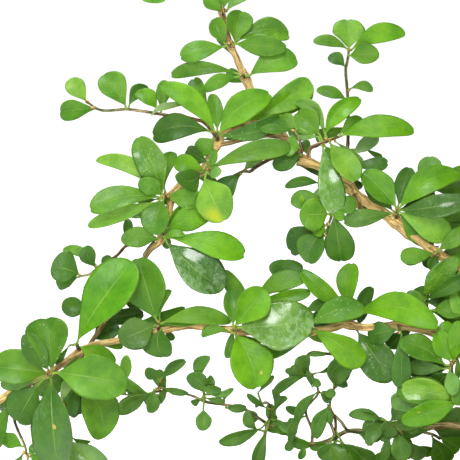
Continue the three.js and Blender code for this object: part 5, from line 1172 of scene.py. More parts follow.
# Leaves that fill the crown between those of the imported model, by spray, read as its own leaves are
FILLING = {
    "spray_limb_right": [
        (48.8, 5.8, 40.8, 15.6, 6, -5, "de", 0), (61, 12, 70, 13.4, 6, -6, "k", 0),
        (51.2, 4.4, 60, -4.6, 6.5, -3, "me", 0), (51, 6, 62, 11, 6, -5, "v", 0),
    ],
    "spray_limb_back": [
        (61, 2, 72, -3, 7.5, -4, "m", 0), (61.4, 3, 66.5, 10, 6.5, -6, "d", 0),
        (60.6, 6, 70, 8, 6, -8, "k", 0),
    ],
    "spray_limb_under": [
        (62.8, -7.6, 72, -5.5, 8, -3, "m", 0), (63, -8, 70, -12.5, 6.5, -6, "k", 0),
        (62.4, -5, 60.5, -12, 5.1, -4, "d", 18), (60.6, -6.6, 51.2, -8.2, 5.6, -2, "k", 0),
    ],
    "twig_right_rising": [
        (58.8, -21.6, 70, -20, 7.5, -5, "de", 0), (59.4, -23.6, 54.8, -17.8, 6.4, -4, "d", 9),
        (61, -24.6, 71, -26, 5, -5, "ke", 9), (66.4, -16, 68.4, -25.5, 3.4, 4, "l", 0),
        (60, -17, 72, -9, 7, -7, "m", 0),
    ],
    "twig_right_drooping": [
        (67.4, -40, 64.4, -27.3, 6, 1, "b", 0), (69.6, -39, 72.5, -29, 6.5, 3, "b", 0),
        (66, -41, 52.6, -40.4, 9.2, -6, "ve", 0), (67.8, -44, 70.7, -52.4, 7.3, 0, "m", 0),
        (66.6, -43, 62.2, -47.6, 6.2, -3, "ve", 18), (68, -50.4, 50, -47.4, 8.5, 0, "me", 0),
        (67, -52.4, 48, -51.1, 8, -6, "go", 0), (70, -34, 64, -33, 6, -4, "k", 0),
        (68.2, -37.5, 68.2, -45.2, 2.1, -5, "me", 0),
    ],
    "back_twig_far_right": [
        (45.5, -56.8, 35.6, -55.4, 3, 0, "ve", 6), (46, -58.4, 39.9, -60.5, 5.8, 1, "w", 0),
        (49.6, -57.4, 46, -61.8, 6.4, 1, "we", 0), (50.4, -58.4, 57, -59.4, 5, 0, "w", 0),
        (50.6, -60.6, 53.4, -67, 6, 0, "ke", 3), (50, -61, 44.2, -61.4, 4.9, 2, "w", 0),
        (50.6, -62, 48.6, -69.8, 6, -3, "k", 0), (46.4, -61, 41.6, -62.8, 3.2, -3, "we", -3),
        (60.6, -62, 64.4, -70.3, 7.5, -3, "k", -6), (61.5, -60, 70, -62.8, 7, -4, "we", 0),
        (61.6, -58.6, 70.5, -55.4, 8, -4, "w", 0), (60.6, -58, 66.5, -52.6, 8, -5, "w", 0),
        (63, -62, 69.2, -65.5, 6.5, -4, "k", 0), (52, -65.4, 61, -66.5, 3.8, -3, "s", 0),
        (54, -68.4, 43.3, -68.3, 4.6, -3, "ko", 0), (49, -58.6, 43.3, -56.6, 4.3, -3, "ke", -9),
        (52, -60.8, 56, -55.6, 6.5, -4, "w", 0), (60, -60, 52, -62, 3, 1, "k", 6),
    ],
    "back_twig_right": [
        (32, -63.4, 27.3, -69, 7, 0, "w", 0), (33.6, -63.8, 38, -70.4, 6, 2, "k", 0),
        (31, -64, 40, -68.4, 5, -2, "wo", 0), (38, -61, 42.7, -64.6, 2.9, 0, "w", -18),
        (29.6, -64.2, 23.9, -65.3, 3.1, 0, "ke", 0), (31.6, -48.6, 27.4, -50.2, 4.2, 0, "d", -9),
        (31.4, -47.6, 34.6, -39.6, 6, -3, "de", 0), (33, -40.4, 34.7, -47.4, 3.8, 1, "d", 15),
        (29.3, -52.4, 30.1, -58.3, 2.5, 1, "w", 0),
    ],
    "back_twig_rising": [
        (26, -48.8, 19.8, -58.2, 3.7, 2, "we", 12), (25.4, -64.6, 17.2, -62.6, 3.7, 0, "ke", -6),
        (20, -60.6, 10.5, -58.3, 4.6, -1, "w", 3), (22.4, -64.6, 20.8, -68.8, 2.6, 1, "ko", -6),
        (18.4, -62, 17.1, -66.3, 3, 0, "wo", -6), (24, -43, 19.7, -38.9, 4.6, 0, "k", 0),
        (22.6, -44, 18.1, -41.2, 5.2, 1, "w", 0), (19.4, -62.8, 18.5, -56.2, 3.3, -2, "k", -3),
        (24.6, -47.1, 23.1, -42.3, 2, 1, "w", 3), (22.6, -37.9, 28.8, -37.4, 1.7, 1, "we", -6),
    ],
    "back_twig_middle": [
        (8.2, -59.8, 4.8, -54.2, 3.7, 0, "we", -18), (11.4, -52.2, 13.9, -56.8, 3.1, 0, "w", 15),
        (12.2, -58.6, 12.2, -52, 3.4, 1, "w", 3), (4.6, -53.6, 8, -57.4, 3.4, -1, "wo", 0),
        (12, -59.6, 17.6, -60.4, 3.6, 1, "k", -6), (8.4, -48.9, 13.2, -43.6, 2.1, 1, "w", -3),
    ],
    "back_twig_left": [
        (-1.4, -53.4, 5, -53.4, 3, 1, "we", 0), (-1.8, -51.6, 1, -47.5, 2, 1, "ge", -18),
        (-8.1, -48.7, -12.4, -43.2, 6, 1, "we", 18), (-9, -47.3, -2.5, -47.9, 3.2, 1, "we", 3),
        (-7.4, -50.3, -1.3, -51.5, 2.2, 1, "wo", 3),
    ],
    "back_twig_left_end": [
        (-24.5, -49, -31.6, -44.4, 3.7, 0, "le", -9), (-25, -49.6, -31.2, -47.4, 3.4, 0, "g", 0),
        (-25.6, -50, -33.3, -53.3, 5.4, 1, "we", 0), (-20.4, -49.4, -25.3, -52.6, 5.7, -1, "wo", 0),
        (-31, -45, -31.1, -37.6, 3.9, 2, "le", 0), (-19.3, -48.7, -21.7, -41.8, 4.7, 1, "w", 0),
        (-18.7, -47.6, -21, -52.2, 2.7, 1, "we", 12),
    ],
    "spray_left_under": [
        (-46, -46.2, -45.2, -55.6, 3.6, -5, "ve", 0), (-46.6, -46.4, -49.4, -52, 3.4, -4, "s", 0),
        (-48.7, -43.2, -58.6, -48.4, 7.7, -5, "me", 0),
    ],
    "spray_behind_big_leaf": [
        (-39, -27.4, -25.8, -25.1, 5, -4, "ve", -3), (-41, -33, -33.7, -28.2, 6.8, -4, "de", -3),
        (-31.7, -21.4, -26.8, -23.3, 2.7, -5, "ve", 6),
    ],
    "spray_lower_limb": [
        (-20.4, -28.2, -8.2, -26.8, 3, -4, "me", 0), (-27.9, -27.4, -13.2, -23.6, 5.8, -5, "ke", 12),
        (-19.2, -29.7, -17.1, -33, 2.7, -5, "ve", 0),
    ],
    "twig_inner": [
        (-2.4, 27, 8, 28.8, 2.2, -3, "de", 0), (20.1, 19.5, 27.2, 16.7, 2.5, -5, "vo", -6),
        (-3.1, 14.3, -9.4, 17, 3.3, -5, "me", 0),
    ],
    "spray_lower": [
        (-19.8, -1.8, -13.4, -1.6, 2.5, 2, "me", -12), (-18.7, -0.8, -19.1, -5.9, 2.8, -5, "ke", 0),
    ],
    "spray_elbow": [
        (-24.4, 4.6, -29.8, 4.2, 2.1, 2, "pe", 0), (-21.3, 11.8, -18.2, 7.5, 2, -5, "k", 0),
        (-21.7, 9.3, -27.6, 8.3, 2, -5, "ko", 0),
    ],
    "twig_middle": [
        (31, 4.6, 34.5, 3.7, 3.2, 1, "be", -9), (21.6, 7.2, 21.4, 10.2, 1.6, 4, "y", 0),
    ],
    "spray_knob": [
        (50, -30, 41.2, -32, 6.7, -4, "de", 3), (38.4, -28.8, 40.8, -24.4, 2.6, -4, "ve", -6),
    ],
    "twig_right_up": [
        (34.9, 30.9, 25.4, 27.3, 4.8, -5, "m", 0), (36.6, 8.1, 41.5, 6, 2.9, -5, "de", 0),
        (37, 15.6, 39.1, 12.1, 2.7, -5, "ve", 0), (40.4, 24.5, 45.7, 21.9, 1.7, -5, "m", 3),
    ],
    "spray_centre": [
        (0.9, -29.6, -1.1, -38.7, 2.9, -5, "ke", -3),
    ],
    "spray_right_low": [
        (54.8, -29.1, 47, -34.9, 5.1, -5, "v", 0),
    ],
    "spray_centre_right": [
        (22.5, -24, 28.8, -20.9, 3.8, -5, "de", 9), (22.4, -31.4, 28.2, -33.2, 2.7, -5, "me", -6),
    ],
    "spray_limb_mid": [
        (5.2, 44.1, -1.5, 47, 4.3, -5, "k", 3),
    ],
    "twig_bottom_left": [
        (-59.9, -68, -58.7, -64.1, 2.9, -5, "ke", 3), (-66.6, -50.3, -69.4, -54, 2.1, -5, "d", -6),
    ],
    "spray_limb_high": [
        (1.7, 51.2, -3.9, 57.7, 2.4, -5, "k", 6),
    ],
    "twig_centre_up": [
        (1.7, -30.9, 10, -33.9, 1.9, -5, "ke", 3),
    ],
    "spray_big_leaf": [
        (-38.5, -34.8, -32.2, -34.9, 2.7, -5, "m", -6), (-48.1, -34.6, -52, -40.6, 2, -5, "k", 3),
        (-44, -37.1, -50.3, -41.6, 2, -5, "me", 0),
    ],
    "twig_fork_right": [
        (23.2, 22.4, 22.6, 26.9, 3, -5, "me", 0),
    ],
    "spray_bottom_left": [
        (-47.4, -62.3, -41.8, -63.6, 2.1, -5, "me", 9),
    ],
    "twig_left": [
        (-22.4, -2.1, -26.2, -7.9, 2, -5, "ke", -9),
    ],
}

BUD_SHARE = 0.45


def add_spray(name, parts, draw):
    """One piece for the stems of a spray with their leaves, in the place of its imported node."""
    skin = Skin()
    for stem, leaves in parts:
        for leaf in leaves:
            add_blade(skin, leaf, draw)
        if stem:
            add_stem(skin, stem, 1, draw(0, 50))
        for leaf in leaves:
            if stem and draw(0, 1) < BUD_SHARE:
                heading = (leaf.along + leaf.normal * draw(0.6, 1.4)).normalized()
                add_bud(skin, leaf.root + heading * 0.3, heading, draw(0.8, 1.4), 1)
    skin.build("leaves_" + name, [HOLLY_LEAF, BARK], [name], "foliage")


FORWARD, FORWARD_AND_OUT = (1, 0), (0.35, 0.85)
STEM_BENDS = [(0, 0), (0.35, 0), (0.7, 0.5), (1, 1)]


def outer_stem(path, share, index, draw, reach):
    """The stops of a leafy stem that leaves a limb past the view."""
    stops = [Vector(stop) for stop in path]
    lengths = [(b - a).length for a, b in zip(stops, stops[1:])]
    left, leg = share * sum(lengths), 0
    while leg < len(lengths) - 1 and left > lengths[leg]:
        left -= lengths[leg]
        leg += 1
    start = stops[leg].lerp(stops[leg + 1], min(left / lengths[leg], 1))
    tangent = (stops[leg + 1] - stops[leg]).normalized()
    side = tangent.cross(UP).normalized() * (1 if index % 2 else -1)
    ahead, sideways = FORWARD if share == 1 else FORWARD_AND_OUT
    heading = tangent * ahead + side * (sideways + draw(-0.15, 0.15)) + UP * draw(0.25, 0.5)
    heading.normalize()
    length = draw(*reach)
    bend = side * draw(-3, 3) + UP * draw(2, 5)
    return [start + heading * (length * part) + bend * bent for part, bent in STEM_BENDS]


# Trunk, roots by heading, reach and thickness, and limbs past the view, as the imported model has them
TRUNK = [(20, 3, 18), (19, 3, 46), (24, 2, 75), (17, 0, 103), (12, 2, 130), (18, 5, 152), (25, 5, 172),
         (28, 2, 195), (29, 0, 212), (27, -1, 226)]
TRUNK_RADII = [7, 10.5, 8.2, 7.2, 6.2, 5, 4.2, 3, 2.2, 1.2]
ROOTS = [(-170, 34, 4.6), (-118, 26, 3.8), (-48, 31, 4.3), (8, 27, 4), (62, 30, 3.9), (128, 28, 4.2)]
ROOT_STOPS = [(0.06, 15, 1), (0.3, 7, 1), (0.6, 2.4, 0.75), (1, -5, 0.4)]
OUTER_LIMBS = [
    ("right_low", [0.5, 1], [(17, 1, 98), (38, -16, 108), (62, -26, 113), (80, -30, 110)], [2.8, 2, 1.4, 1]),
    ("right_back", [0.5, 1], [(13, 3, 118), (36, 18, 130), (60, 28, 136), (80, 32, 132)], [2.8, 2, 1.4, 1]),
    ("front", [0.55, 1], [(13, 2, 134), (28, -22, 146), (42, -42, 151), (52, -54, 148)],
     [2.4, 1.8, 1.3, 0.9]),
    ("right_mid", [0.5, 1], [(17, 4, 150), (42, 0, 163), (66, -4, 168), (86, -6, 162)], [2.5, 1.9, 1.3, 0.9]),
    ("back", [0.55, 1], [(22, 5, 163), (30, 30, 176), (36, 50, 179), (40, 62, 172)], [2.3, 1.7, 1.2, 0.9]),
    ("upper_left", [0.6, 1], [(28, 3, 190), (12, 0, 212), (-8, -3, 228), (-26, -4, 235)], [2, 1.5, 1.1, 0.8]),
    ("upper_right", [1], [(28, 2, 198), (46, -4, 214), (60, -6, 220)], [1.7, 1.3, 0.9]),
    ("upper_front", [1], [(27, 2, 182), (30, -20, 197), (33, -36, 202)], [1.8, 1.3, 0.9]),
]
BARK_DEEP, BARK_PALE, BARK_LOW = shade(128, 104, 80), shade(168, 132, 90), shade(104, 88, 68)
MELT_SIZE, MELT_ROUNDS = 0.9, 5
ROOT_WANDER = 1.6
PATH_APART = 40  # keeps the grain of one root from running on into the next


def trunk_paths():
    """The paths of the trunk and of its surface roots, with their radii."""
    base = Vector(TRUNK[1])
    paths = [smooth_path([Vector(stop) for stop in TRUNK[:8]], TRUNK_RADII[:8], 3)]
    for heading, reach, thick in ROOTS:
        turn = math.radians(heading)
        wander = Vector((-math.sin(turn), math.cos(turn), 0))
        stops = [
            base + Vector((reach * share * math.cos(turn), reach * share * math.sin(turn), rise))
            + wander * (ROOT_WANDER * math.sin(5 * share + heading))
            for share, rise, _ in ROOT_STOPS
        ]
        paths.append(smooth_path(stops, [thick * part for _, _, part in ROOT_STOPS], 2))
    return paths


def melted(paths):
    """Tubes along the paths, melted into one: its points, the ways they face, and its faces."""
    rough = Skin()
    for points, radii in paths:
        add_tube(rough, points, radii, 20, (0, 0, 0), (0, 0, 0))
    blank = rough.plain("rough_trunk")
    melt = blank.modifiers.new("melt", "REMESH")
    melt.mode, melt.voxel_size = "VOXEL", MELT_SIZE * MM
    soften = blank.modifiers.new("soften", "SMOOTH")
    soften.factor, soften.iterations = 0.5, MELT_ROUNDS
    mesh = blank.evaluated_get(bpy.context.evaluated_depsgraph_get()).to_mesh()
    at, out = np.empty(len(mesh.vertices) * 3), np.empty(len(mesh.vertices) * 3)
    mesh.vertices.foreach_get("co", at)
    mesh.vertices.foreach_get("normal", out)
    faces = [tuple(face.vertices) for face in mesh.polygons]
    bpy.data.objects.remove(blank)
    return at.reshape(-1, 3) / MM, out.reshape(-1, 3), faces


def bark_places(at, paths):
    """For each point, its place round and along the path that it lies nearest to."""
    reach, place = np.full(len(at), np.inf), np.zeros((len(at), 3))
    for number, (points, radii) in enumerate(paths):
        travelled, side = 0.0, None
        for a, b, radius in zip(points, points[1:], radii):
            leg = b - a
            tangent = leg.normalized()
            side = square_to(side or first_side(tangent), tangent)
            other = tangent.cross(side)
            offset = at - np.array(a)
            along = np.clip(offset @ np.array(tangent), 0, leg.length)
            apart = offset - along[:, None] * np.array(tangent)
            score = np.linalg.norm(apart, axis=1) - radius
            nearer = score < reach
            reach[nearer] = score[nearer]
            local = np.stack([apart @ np.array(side), apart @ np.array(other),
                              travelled + along + number * PATH_APART], axis=1)
            place[nearer] = local[nearer]
            travelled += leg.length
    return place


def trunk_and_roots():
    """The trunk and its surface roots, melted into one another, with ridged bark."""
    paths = trunk_paths()
    at, out, faces = melted(paths)
    skin = Skin()
    for point, away, where in zip(at, out, bark_places(at, paths)):
        grain = Vector((where[0] * 0.42, where[1] * 0.42, where[2] * 0.09))
        ridge = 1 - 2.2 * abs(noise.noise(grain)) + 0.5 * noise.noise(grain * 2.7)
        knobbly = noise.noise(Vector(where * 0.11))
        lift = 0.55 * ridge + 0.7 * knobbly
        tone = Vector(BARK_PALE).lerp(Vector(BARK_DEEP), within(0.5 + knobbly, 0, 1))
        low = within((60 - point[2]) / 20, 0, 1)
        tone = tone.lerp(Vector(BARK_LOW), low * 0.5)
        skin.point(Vector(point) + Vector(away) * lift, tuple(where * 0.4), tuple(tone), (0.1, 0, 0))
    for face in faces:
        skin.face(face)
    skin.build("trunk_and_roots", [BARK], ["trunk_and_limbs"], "bark")


# Small things on the limbs, as readings: a broken stub with its radii, and buds with their sizes
STUB, STUB_RADII = [(37.6, 10.4, 0.5), (38.6, 8, 2), (39.2, 5.6, 3)], [1.3, 0.9, 0.75]
LIMB_BUDS = [((29.3, 1.4, 6.6), 1.3), ((28.5, -2, 6), 1.2), ((36, -27, 1.5), 1.4)]
STOUT = 2
SPUR_SWELL, SPUR_REACH = 0.3, 1.5
COLLAR_SWELL, COLLAR_START, COLLAR_FADE = 0.55, 7, 5
LIMBS_APART = 9


def limbs():
    """Every limb and branch, with ridges along it, swellings where spurs leave it and dark knots."""
    skin = Skin()
    feet = [in_view(path[0]) for _, path, _, _ in SPRAYS]
    runs = [([Vector(stop) for stop in path], radii, True) for _, _, path, radii in OUTER_LIMBS]
    runs.append(([Vector(stop) for stop in TRUNK[6:]], TRUNK_RADII[6:], False))
    for start, path, radii in FRONT_LIMBS:
        stops = [*([Vector(start)] if start else []), *map(in_view, path)]
        runs.append((stops, radii, bool(start)))
    for number, (stops, radii, from_trunk) in enumerate(runs):
        thick = radii[0] > STOUT
        points, sizes = smooth_path(stops, radii, 0.8 if thick else 0.6)
        swelling = [
            1 + sum(SPUR_SWELL * math.exp(-((foot - point).length / SPUR_REACH) ** 2) for foot in feet)
            for point in points
        ]
        travelled = 0.0
        for i, point in enumerate(points):
            travelled += (point - points[i - 1]).length if i else 0
            if from_trunk:
                swelling[i] *= 1 + COLLAR_SWELL * math.exp(-max(0, travelled - COLLAR_START) / COLLAR_FADE)
        distant = view_reading(points[-1])[2] < DISTANT
        slender = distant or number == len(OUTER_LIMBS) + 1  # the distant twigs and the first limb in front
        slim = SLIMMER if slender else SLIM
        sizes = [size * swell * slim for size, swell in zip(sizes, swelling)]

        def relief(i, turn, along):
            grain, apart = sizes[i] * 1.3, number * LIMBS_APART
            ridge = 1 - 2.4 * abs(noise.noise(round_centre(turn, grain, along * 0.12 + apart)))
            knobbly = noise.noise(round_centre(turn, 1, along * 0.35 + apart))
            return 1 + 0.09 * ridge + 0.1 * knobbly

        def tint(i):
            stout = within((sizes[i] - 0.5) / 0.6, 0, 1)
            tone = Vector(TWIG_BROWN).lerp(Vector(LIMB_TAN), stout)
            if distant:
                tone = tone.lerp(Vector(DISTANT_BARK), 0.75)
            patch = noise.noise(points[i] * 0.14)
            return tuple(tone.lerp(Vector(TWIG_TAN), within(0.1 + patch, 0, 0.4)))

        def trait(i):
            return (min(1, 0.9 / sizes[i]), max(0, swelling[i] - 1.2) * 1.5, 0)

        add_tube(skin, points, sizes, 16 if thick else 12, tint, trait, 0, relief)
    for path in SIDE_TWIGS:
        points, sizes = smooth_path([in_view(reading) for reading in path], [0.5] * len(path), 0.6)
        add_tube(skin, points, sizes, 8, DISTANT_BARK, (0.9, 0, 0))
    points, sizes = smooth_path([in_view(reading) for reading in STUB], STUB_RADII, 0.5)
    add_tube(skin, points, sizes, 10, TWIG_TAN, (0.5, 0.4, 0))
    for reading, size in LIMB_BUDS:
        add_bud(skin, in_view(reading), (UP + TO_VIEWER * 0.5).normalized(), size, 0)
    skin.build("limbs", [BARK], ["trunk_and_limbs"], "bark")


# Tray
TRAY_LENGTH, TRAY_DEPTH, TRAY_HEIGHT, TRAY_CORNER = 212, 152, 50, 26
TRAY_WALL, TRAY_FLOOR, TRAY_FLARE, LIP_OVERHANG, LIP_FOOT = 5, 6, 7, 3, 43
DRAIN_RADIUS, DRAIN_OFFSET = 8, 52
GAP, CORNER_SHRINK = 0.3, 0.6
RING_POINTS, WALL_ROWS, LIP_ROWS, INSIDE_ROWS, HOLE_SIDES = 176, 12, 8, 11, 48
FOOT_EDGE = [(1.6, 0), (0.6, 0.35), (0.1, 1.1)]
RIM_TOP = [(1.6, 0.05), (3.4, 0), (6.4, 0), (7.5, 0.3)]
RIM_DROP, DRAIN_BEVEL, SHARP_EDGE = 1.4, 1.2, 40


def rounded_ring(inset, z, count):
    """Even points round the tray's outline, drawn in by an inset."""
    half_x, half_y = TRAY_LENGTH / 2 - inset, TRAY_DEPTH / 2 - inset
    corner = max(TRAY_CORNER - CORNER_SHRINK * inset, 3)
    corner = min(corner, half_x * 0.98, half_y * 0.98)
    straight_x, straight_y = 2 * (half_x - corner), 2 * (half_y - corner)
    arc = math.pi / 2 * corner
    legs = [straight_y / 2, arc, straight_x, arc, straight_y, arc, straight_x, arc, straight_y / 2]
    centres = [(half_x - corner, half_y - corner), (corner - half_x, half_y - corner),
               (corner - half_x, corner - half_y), (half_x - corner, corner - half_y)]
    starts = [(half_x, 0), None, (half_x - corner, half_y), None, (-half_x, half_y - corner), None,
              (corner - half_x, -half_y), None, (half_x, corner - half_y)]
    ways = [(0, 1), None, (-1, 0), None, (0, -1), None, (1, 0), None, (0, 1)]
    total, ring = sum(legs), []
    for i in range(count):
        left, leg = total * i / count, 0
        while left > legs[leg]:
            left -= legs[leg]
            leg += 1
        if leg % 2 == 0:
            (x, y), (dx, dy) = starts[leg], ways[leg]
            ring.append(Vector((x + dx * left, y + dy * left, z)))
        else:
            turn = math.pi / 2 * (leg // 2) + left / corner
            x, y = centres[leg // 2]
            ring.append(Vector((x + corner * math.cos(turn), y + corner * math.sin(turn), z)))
    return ring


def inner_inset(z):
    """How far the tray's inside is drawn in at a height."""
    rise = (z - TRAY_FLOOR) / (TRAY_HEIGHT - TRAY_FLOOR)
    return TRAY_FLARE * (1 - rise) + LIP_OVERHANG + TRAY_WALL


def add_rings(skin, rings, tint, trait):
    """A skin through rings with as many points each, closed by a face at both ends."""
    numbers = [[skin.point(point, tuple(point), tint, trait) for point in ring] for ring in rings]
    count = len(rings[0])
    for lower, upper in zip(numbers, numbers[1:]):
        for j in range(count):
            k = (j + 1) % count
            skin.face((lower[j], lower[k], upper[k], upper[j]))
    skin.face(tuple(reversed(numbers[0])))
    skin.face(tuple(numbers[-1]))


def tray_profile():
    """The tray's section as insets and heights: up the outside, over the lip and down the inside."""
    foot = TRAY_FLARE + LIP_OVERHANG
    profile = [(foot + inset, z) for inset, z in FOOT_EDGE]
    for i in range(1, WALL_ROWS + 1):
        share = i / WALL_ROWS
        profile.append((mix(foot, LIP_OVERHANG + 0.5, share) - 0.35 * math.sin(math.pi * share),
                        mix(1, LIP_FOOT - 1, share)))
    lip = TRAY_HEIGHT - LIP_FOOT
    for i in range(LIP_ROWS + 1):
        turn = math.pi * i / LIP_ROWS
        profile.append((0.9 - 0.9 * math.sin(turn) + (LIP_OVERHANG - 0.9) * max(0, math.cos(turn)) ** 4,
                        LIP_FOOT + lip / 2 - (lip / 2 - 0.3) * math.cos(turn)))
    profile += [(inset, TRAY_HEIGHT - below) for inset, below in RIM_TOP]
    for i in range(INSIDE_ROWS + 1):
        z = mix(TRAY_HEIGHT - RIM_DROP, TRAY_FLOOR + 1.2, i / INSIDE_ROWS)
        profile.append((inner_inset(z), z))
    profile.append((inner_inset(TRAY_FLOOR) + 1.6, TRAY_FLOOR))
    return profile


def tray():
    """The unglazed tray: straight flared walls, a rounded lip and two drain holes in its floor."""
    skin, cutters = Skin(), Skin()
    rings = [rounded_ring(inset, z, RING_POINTS) for inset, z in tray_profile()]
    add_rings(skin, rings, (0, 0, 0), (0, 0, 0))
    piece = skin.build("unglazed_tray", [CLAY], ["tray"], "stoneware")
    wide = DRAIN_RADIUS + DRAIN_BEVEL
    for hand in (-1, 1):
        centre = Vector((hand * DRAIN_OFFSET, 0, 0))
        rings = [
            [centre + round_centre(j * math.pi / (HOLE_SIDES // 2), radius, z) for j in range(HOLE_SIDES)]
            for radius, z in ((wide, -1), (DRAIN_RADIUS, 0.9), (DRAIN_RADIUS, 5.1), (wide, 7))
        ]
        add_rings(cutters, rings, (0, 0, 0), (0, 0, 0))
    cutter = cutters.plain("drain_cutters")
    cut = piece.modifiers.new("drains", "BOOLEAN")
    cut.operation, cut.solver, cut.object = "DIFFERENCE", "EXACT", cutter
    bpy.context.view_layer.update()
    holed = bpy.data.meshes.new_from_object(piece.evaluated_get(bpy.context.evaluated_depsgraph_get()))
    piece.modifiers.clear()
    piece.data = holed
    holed.set_sharp_from_angle(angle=math.radians(SHARP_EDGE))
    bpy.data.objects.remove(cutter)


SCREEN_SIDE, SCREEN_HEIGHT, STRANDS, STRAND_STEPS, STRAND_RADIUS = 25, 6.5, 13, 24, 0.36
STRAND_WAVE, STRAND_INSET, STRAND_END = 0.08, 0.45, 0.05


def drain_screen(name, hand):
    """Plastic netting over a drain hole: crossing strands, welded where they meet."""
    skin = Skin()
    edge, end = SCREEN_SIDE / 2 - STRAND_INSET, SCREEN_SIDE / 2 - STRAND_END
    for i in range(STRANDS):
        across = mix(-edge, edge, i / (STRANDS - 1))
        for way, level, sign in ((0, -0.12, -1), (1, 0.18, 1)):
            points = []
            for j in range(STRAND_STEPS + 1):
                along = mix(-end, end, j / STRAND_STEPS)
                x, y = (along, across) if way else (across, along)
                wave = STRAND_WAVE * math.cos(math.pi * (j + i)) * sign
                points.append(Vector((hand * DRAIN_OFFSET + x, y, SCREEN_HEIGHT + level + wave)))
            radii = [STRAND_RADIUS] * len(points)
            add_tube(skin, points, radii, 6, (0, 0, 0), (0, 0, 0), rounded_end=False)
    skin.build("netting_" + name, [NETTING], [name], "netting")


# Soil, grit and moss
SOIL_TOP = 44
SOIL_RISE = [(0, 0), (6, 1.5), (22, 4.2), (42, 7)]
SOIL_EDGE = inner_inset(SOIL_TOP) + GAP
SOIL_POINTS, MOUND_ROWS = 160, 34
BED_TONE = shade(74, 56, 42)
GRAIN_SPACING, GRAIN_ROWS, GRAIN_COLUMNS, GRAIN_MARGIN = 2.35, 32, 46, 1.5


def soil_inward(x, y):
    """How far a place lies in from the soil's edge."""
    corner = TRAY_CORNER - CORNER_SHRINK * SOIL_EDGE
    over_x = abs(x) - (TRAY_LENGTH / 2 - SOIL_EDGE - corner)
    over_y = abs(y) - (TRAY_DEPTH / 2 - SOIL_EDGE - corner)
    return corner - math.hypot(max(over_x, 0), max(over_y, 0)) - min(max(over_x, over_y), 0)


def soil_height(x, y):
    """The height of the mounded soil at a place."""
    inward = soil_inward(x, y)
    rise = SOIL_RISE[-1][1]
    for (a, low), (b, high) in zip(SOIL_RISE, SOIL_RISE[1:]):
        if inward < b:
            rise = mix(low, high, max(0, (inward - a) / (b - a)))
            break
    return SOIL_TOP + rise


def bumpy(x, y):
    """The soil's own unevenness at a place, in slow swells and small bumps."""
    swells = noise.noise(Vector((x * 0.08, y * 0.08, 3)))
    bumps = noise.noise(Vector((x * 0.5, y * 0.5, 9)))
    return 0.5 * swells + 0.3 * bumps


GRIT_TONES = [
    shade(150, 112, 76), shade(124, 88, 60), shade(92, 68, 50), shade(176, 146, 108),
    shade(70, 58, 50), shade(140, 126, 110), shade(112, 74, 48),
]


def pebble_shape():
    """The corners and faces of an icosahedron of radius one."""
    golden = (1 + 5**0.5) / 2
    corners = []
    for a in (-1, 1):
        for b in (-golden, golden):
            corners += [(0, a, b), (a, b, 0), (b, 0, a)]
    corners = [Vector(corner).normalized() for corner in corners]
    near = min((p - q).length for i, p in enumerate(corners) for q in corners[:i]) * 1.01
    faces = []
    for i in range(12):
        for j in range(i + 1, 12):
            for k in range(j + 1, 12):
                a, b, c = corners[i], corners[j], corners[k]
                if max((a - b).length, (b - c).length, (c - a).length) < near:
                    outward = (b - a).cross(c - a).dot(a + b + c) > 0
                    faces.append((i, j, k) if outward else (i, k, j))
    return corners, faces


def soil(draw):
    """The soil: a mounded bed of grit, with loose granules lying on it."""
    skin = Skin()
    levels = (TRAY_FLOOR + GAP, 20, 34, SOIL_TOP - 0.6)
    rings = [rounded_ring(inner_inset(z) + GAP, z, SOIL_POINTS) for z in levels]
    for i in range(MOUND_ROWS):
        inset = mix(SOIL_EDGE, TRAY_DEPTH / 2 - 0.6, (i / (MOUND_ROWS - 1)) ** 0.9)
        ring = rounded_ring(inset, 0, SOIL_POINTS)
        for point in ring:
            point.z = soil_height(point.x, point.y) - 0.9 + bumpy(point.x, point.y) * min(1, i / 3)
        rings.append(ring)
    add_rings(skin, rings, BED_TONE, (0, 0, 0))
    corners, faces = pebble_shape()
    for row in range(-GRAIN_ROWS, GRAIN_ROWS + 1):
        for column in range(-GRAIN_COLUMNS, GRAIN_COLUMNS + 1):
            x = (column + 0.5 * (row % 2)) * GRAIN_SPACING + draw(-0.8, 0.8)
            y = row * GRAIN_SPACING + draw(-0.8, 0.8)
            size = draw(0.8, 1.55)
            squash = Vector((draw(0.8, 1.2), draw(0.75, 1.15), draw(0.6, 0.95)))
            spin = Matrix.Rotation(draw(0, TURN), 3, "Z") @ Matrix.Rotation(draw(-0.5, 0.5), 3, "X")
            tone = GRIT_TONES[int(draw(0, len(GRIT_TONES) - 0.01))]
            light = draw(0.8, 1.15)
            if soil_inward(x, y) < GRAIN_MARGIN:
                continue
            centre = Vector((x, y, soil_height(x, y) - 0.75 + bumpy(x, y) + draw(-0.3, 0.4)))
            tint, first = tuple(part * light for part in tone), len(skin.points)
            for corner in corners:
                at = spin @ (corner * squash)
                skin.point(centre + at * (size * draw(0.85, 1.12)), tuple(centre + at), tint, (0, 0, 0))
            for a, b, c in faces:
                skin.face((first + a, first + b, first + c))
    skin.build("gritty_soil", [GRIT], ["soil"], "earth")


# Cushions of moss, as places with their reach
MOSS_BEDS = [
    (34, 16, 17), (1, 22, 14), (-2, -24, 13), (44, -22, 15), (-48, 8, 16), (-62, -30, 10),
    (72, 22, 13), (66, -34, 9), (-70, 34, 12), (16, -40, 10), (18, 44, 11),
]
MOSS_FELT, MOSS_DEEP, MOSS_PALE = shade(58, 78, 26), shade(92, 128, 34), shade(138, 158, 52)
MOSS_TRAIT, MOSS_ROWS, MOSS_POINTS, SHOOTS_PER_AREA = (0.1, 0, 0), 9, 40, 3.2
SHOOT_TURNS = (0, 2.1, 4.2)


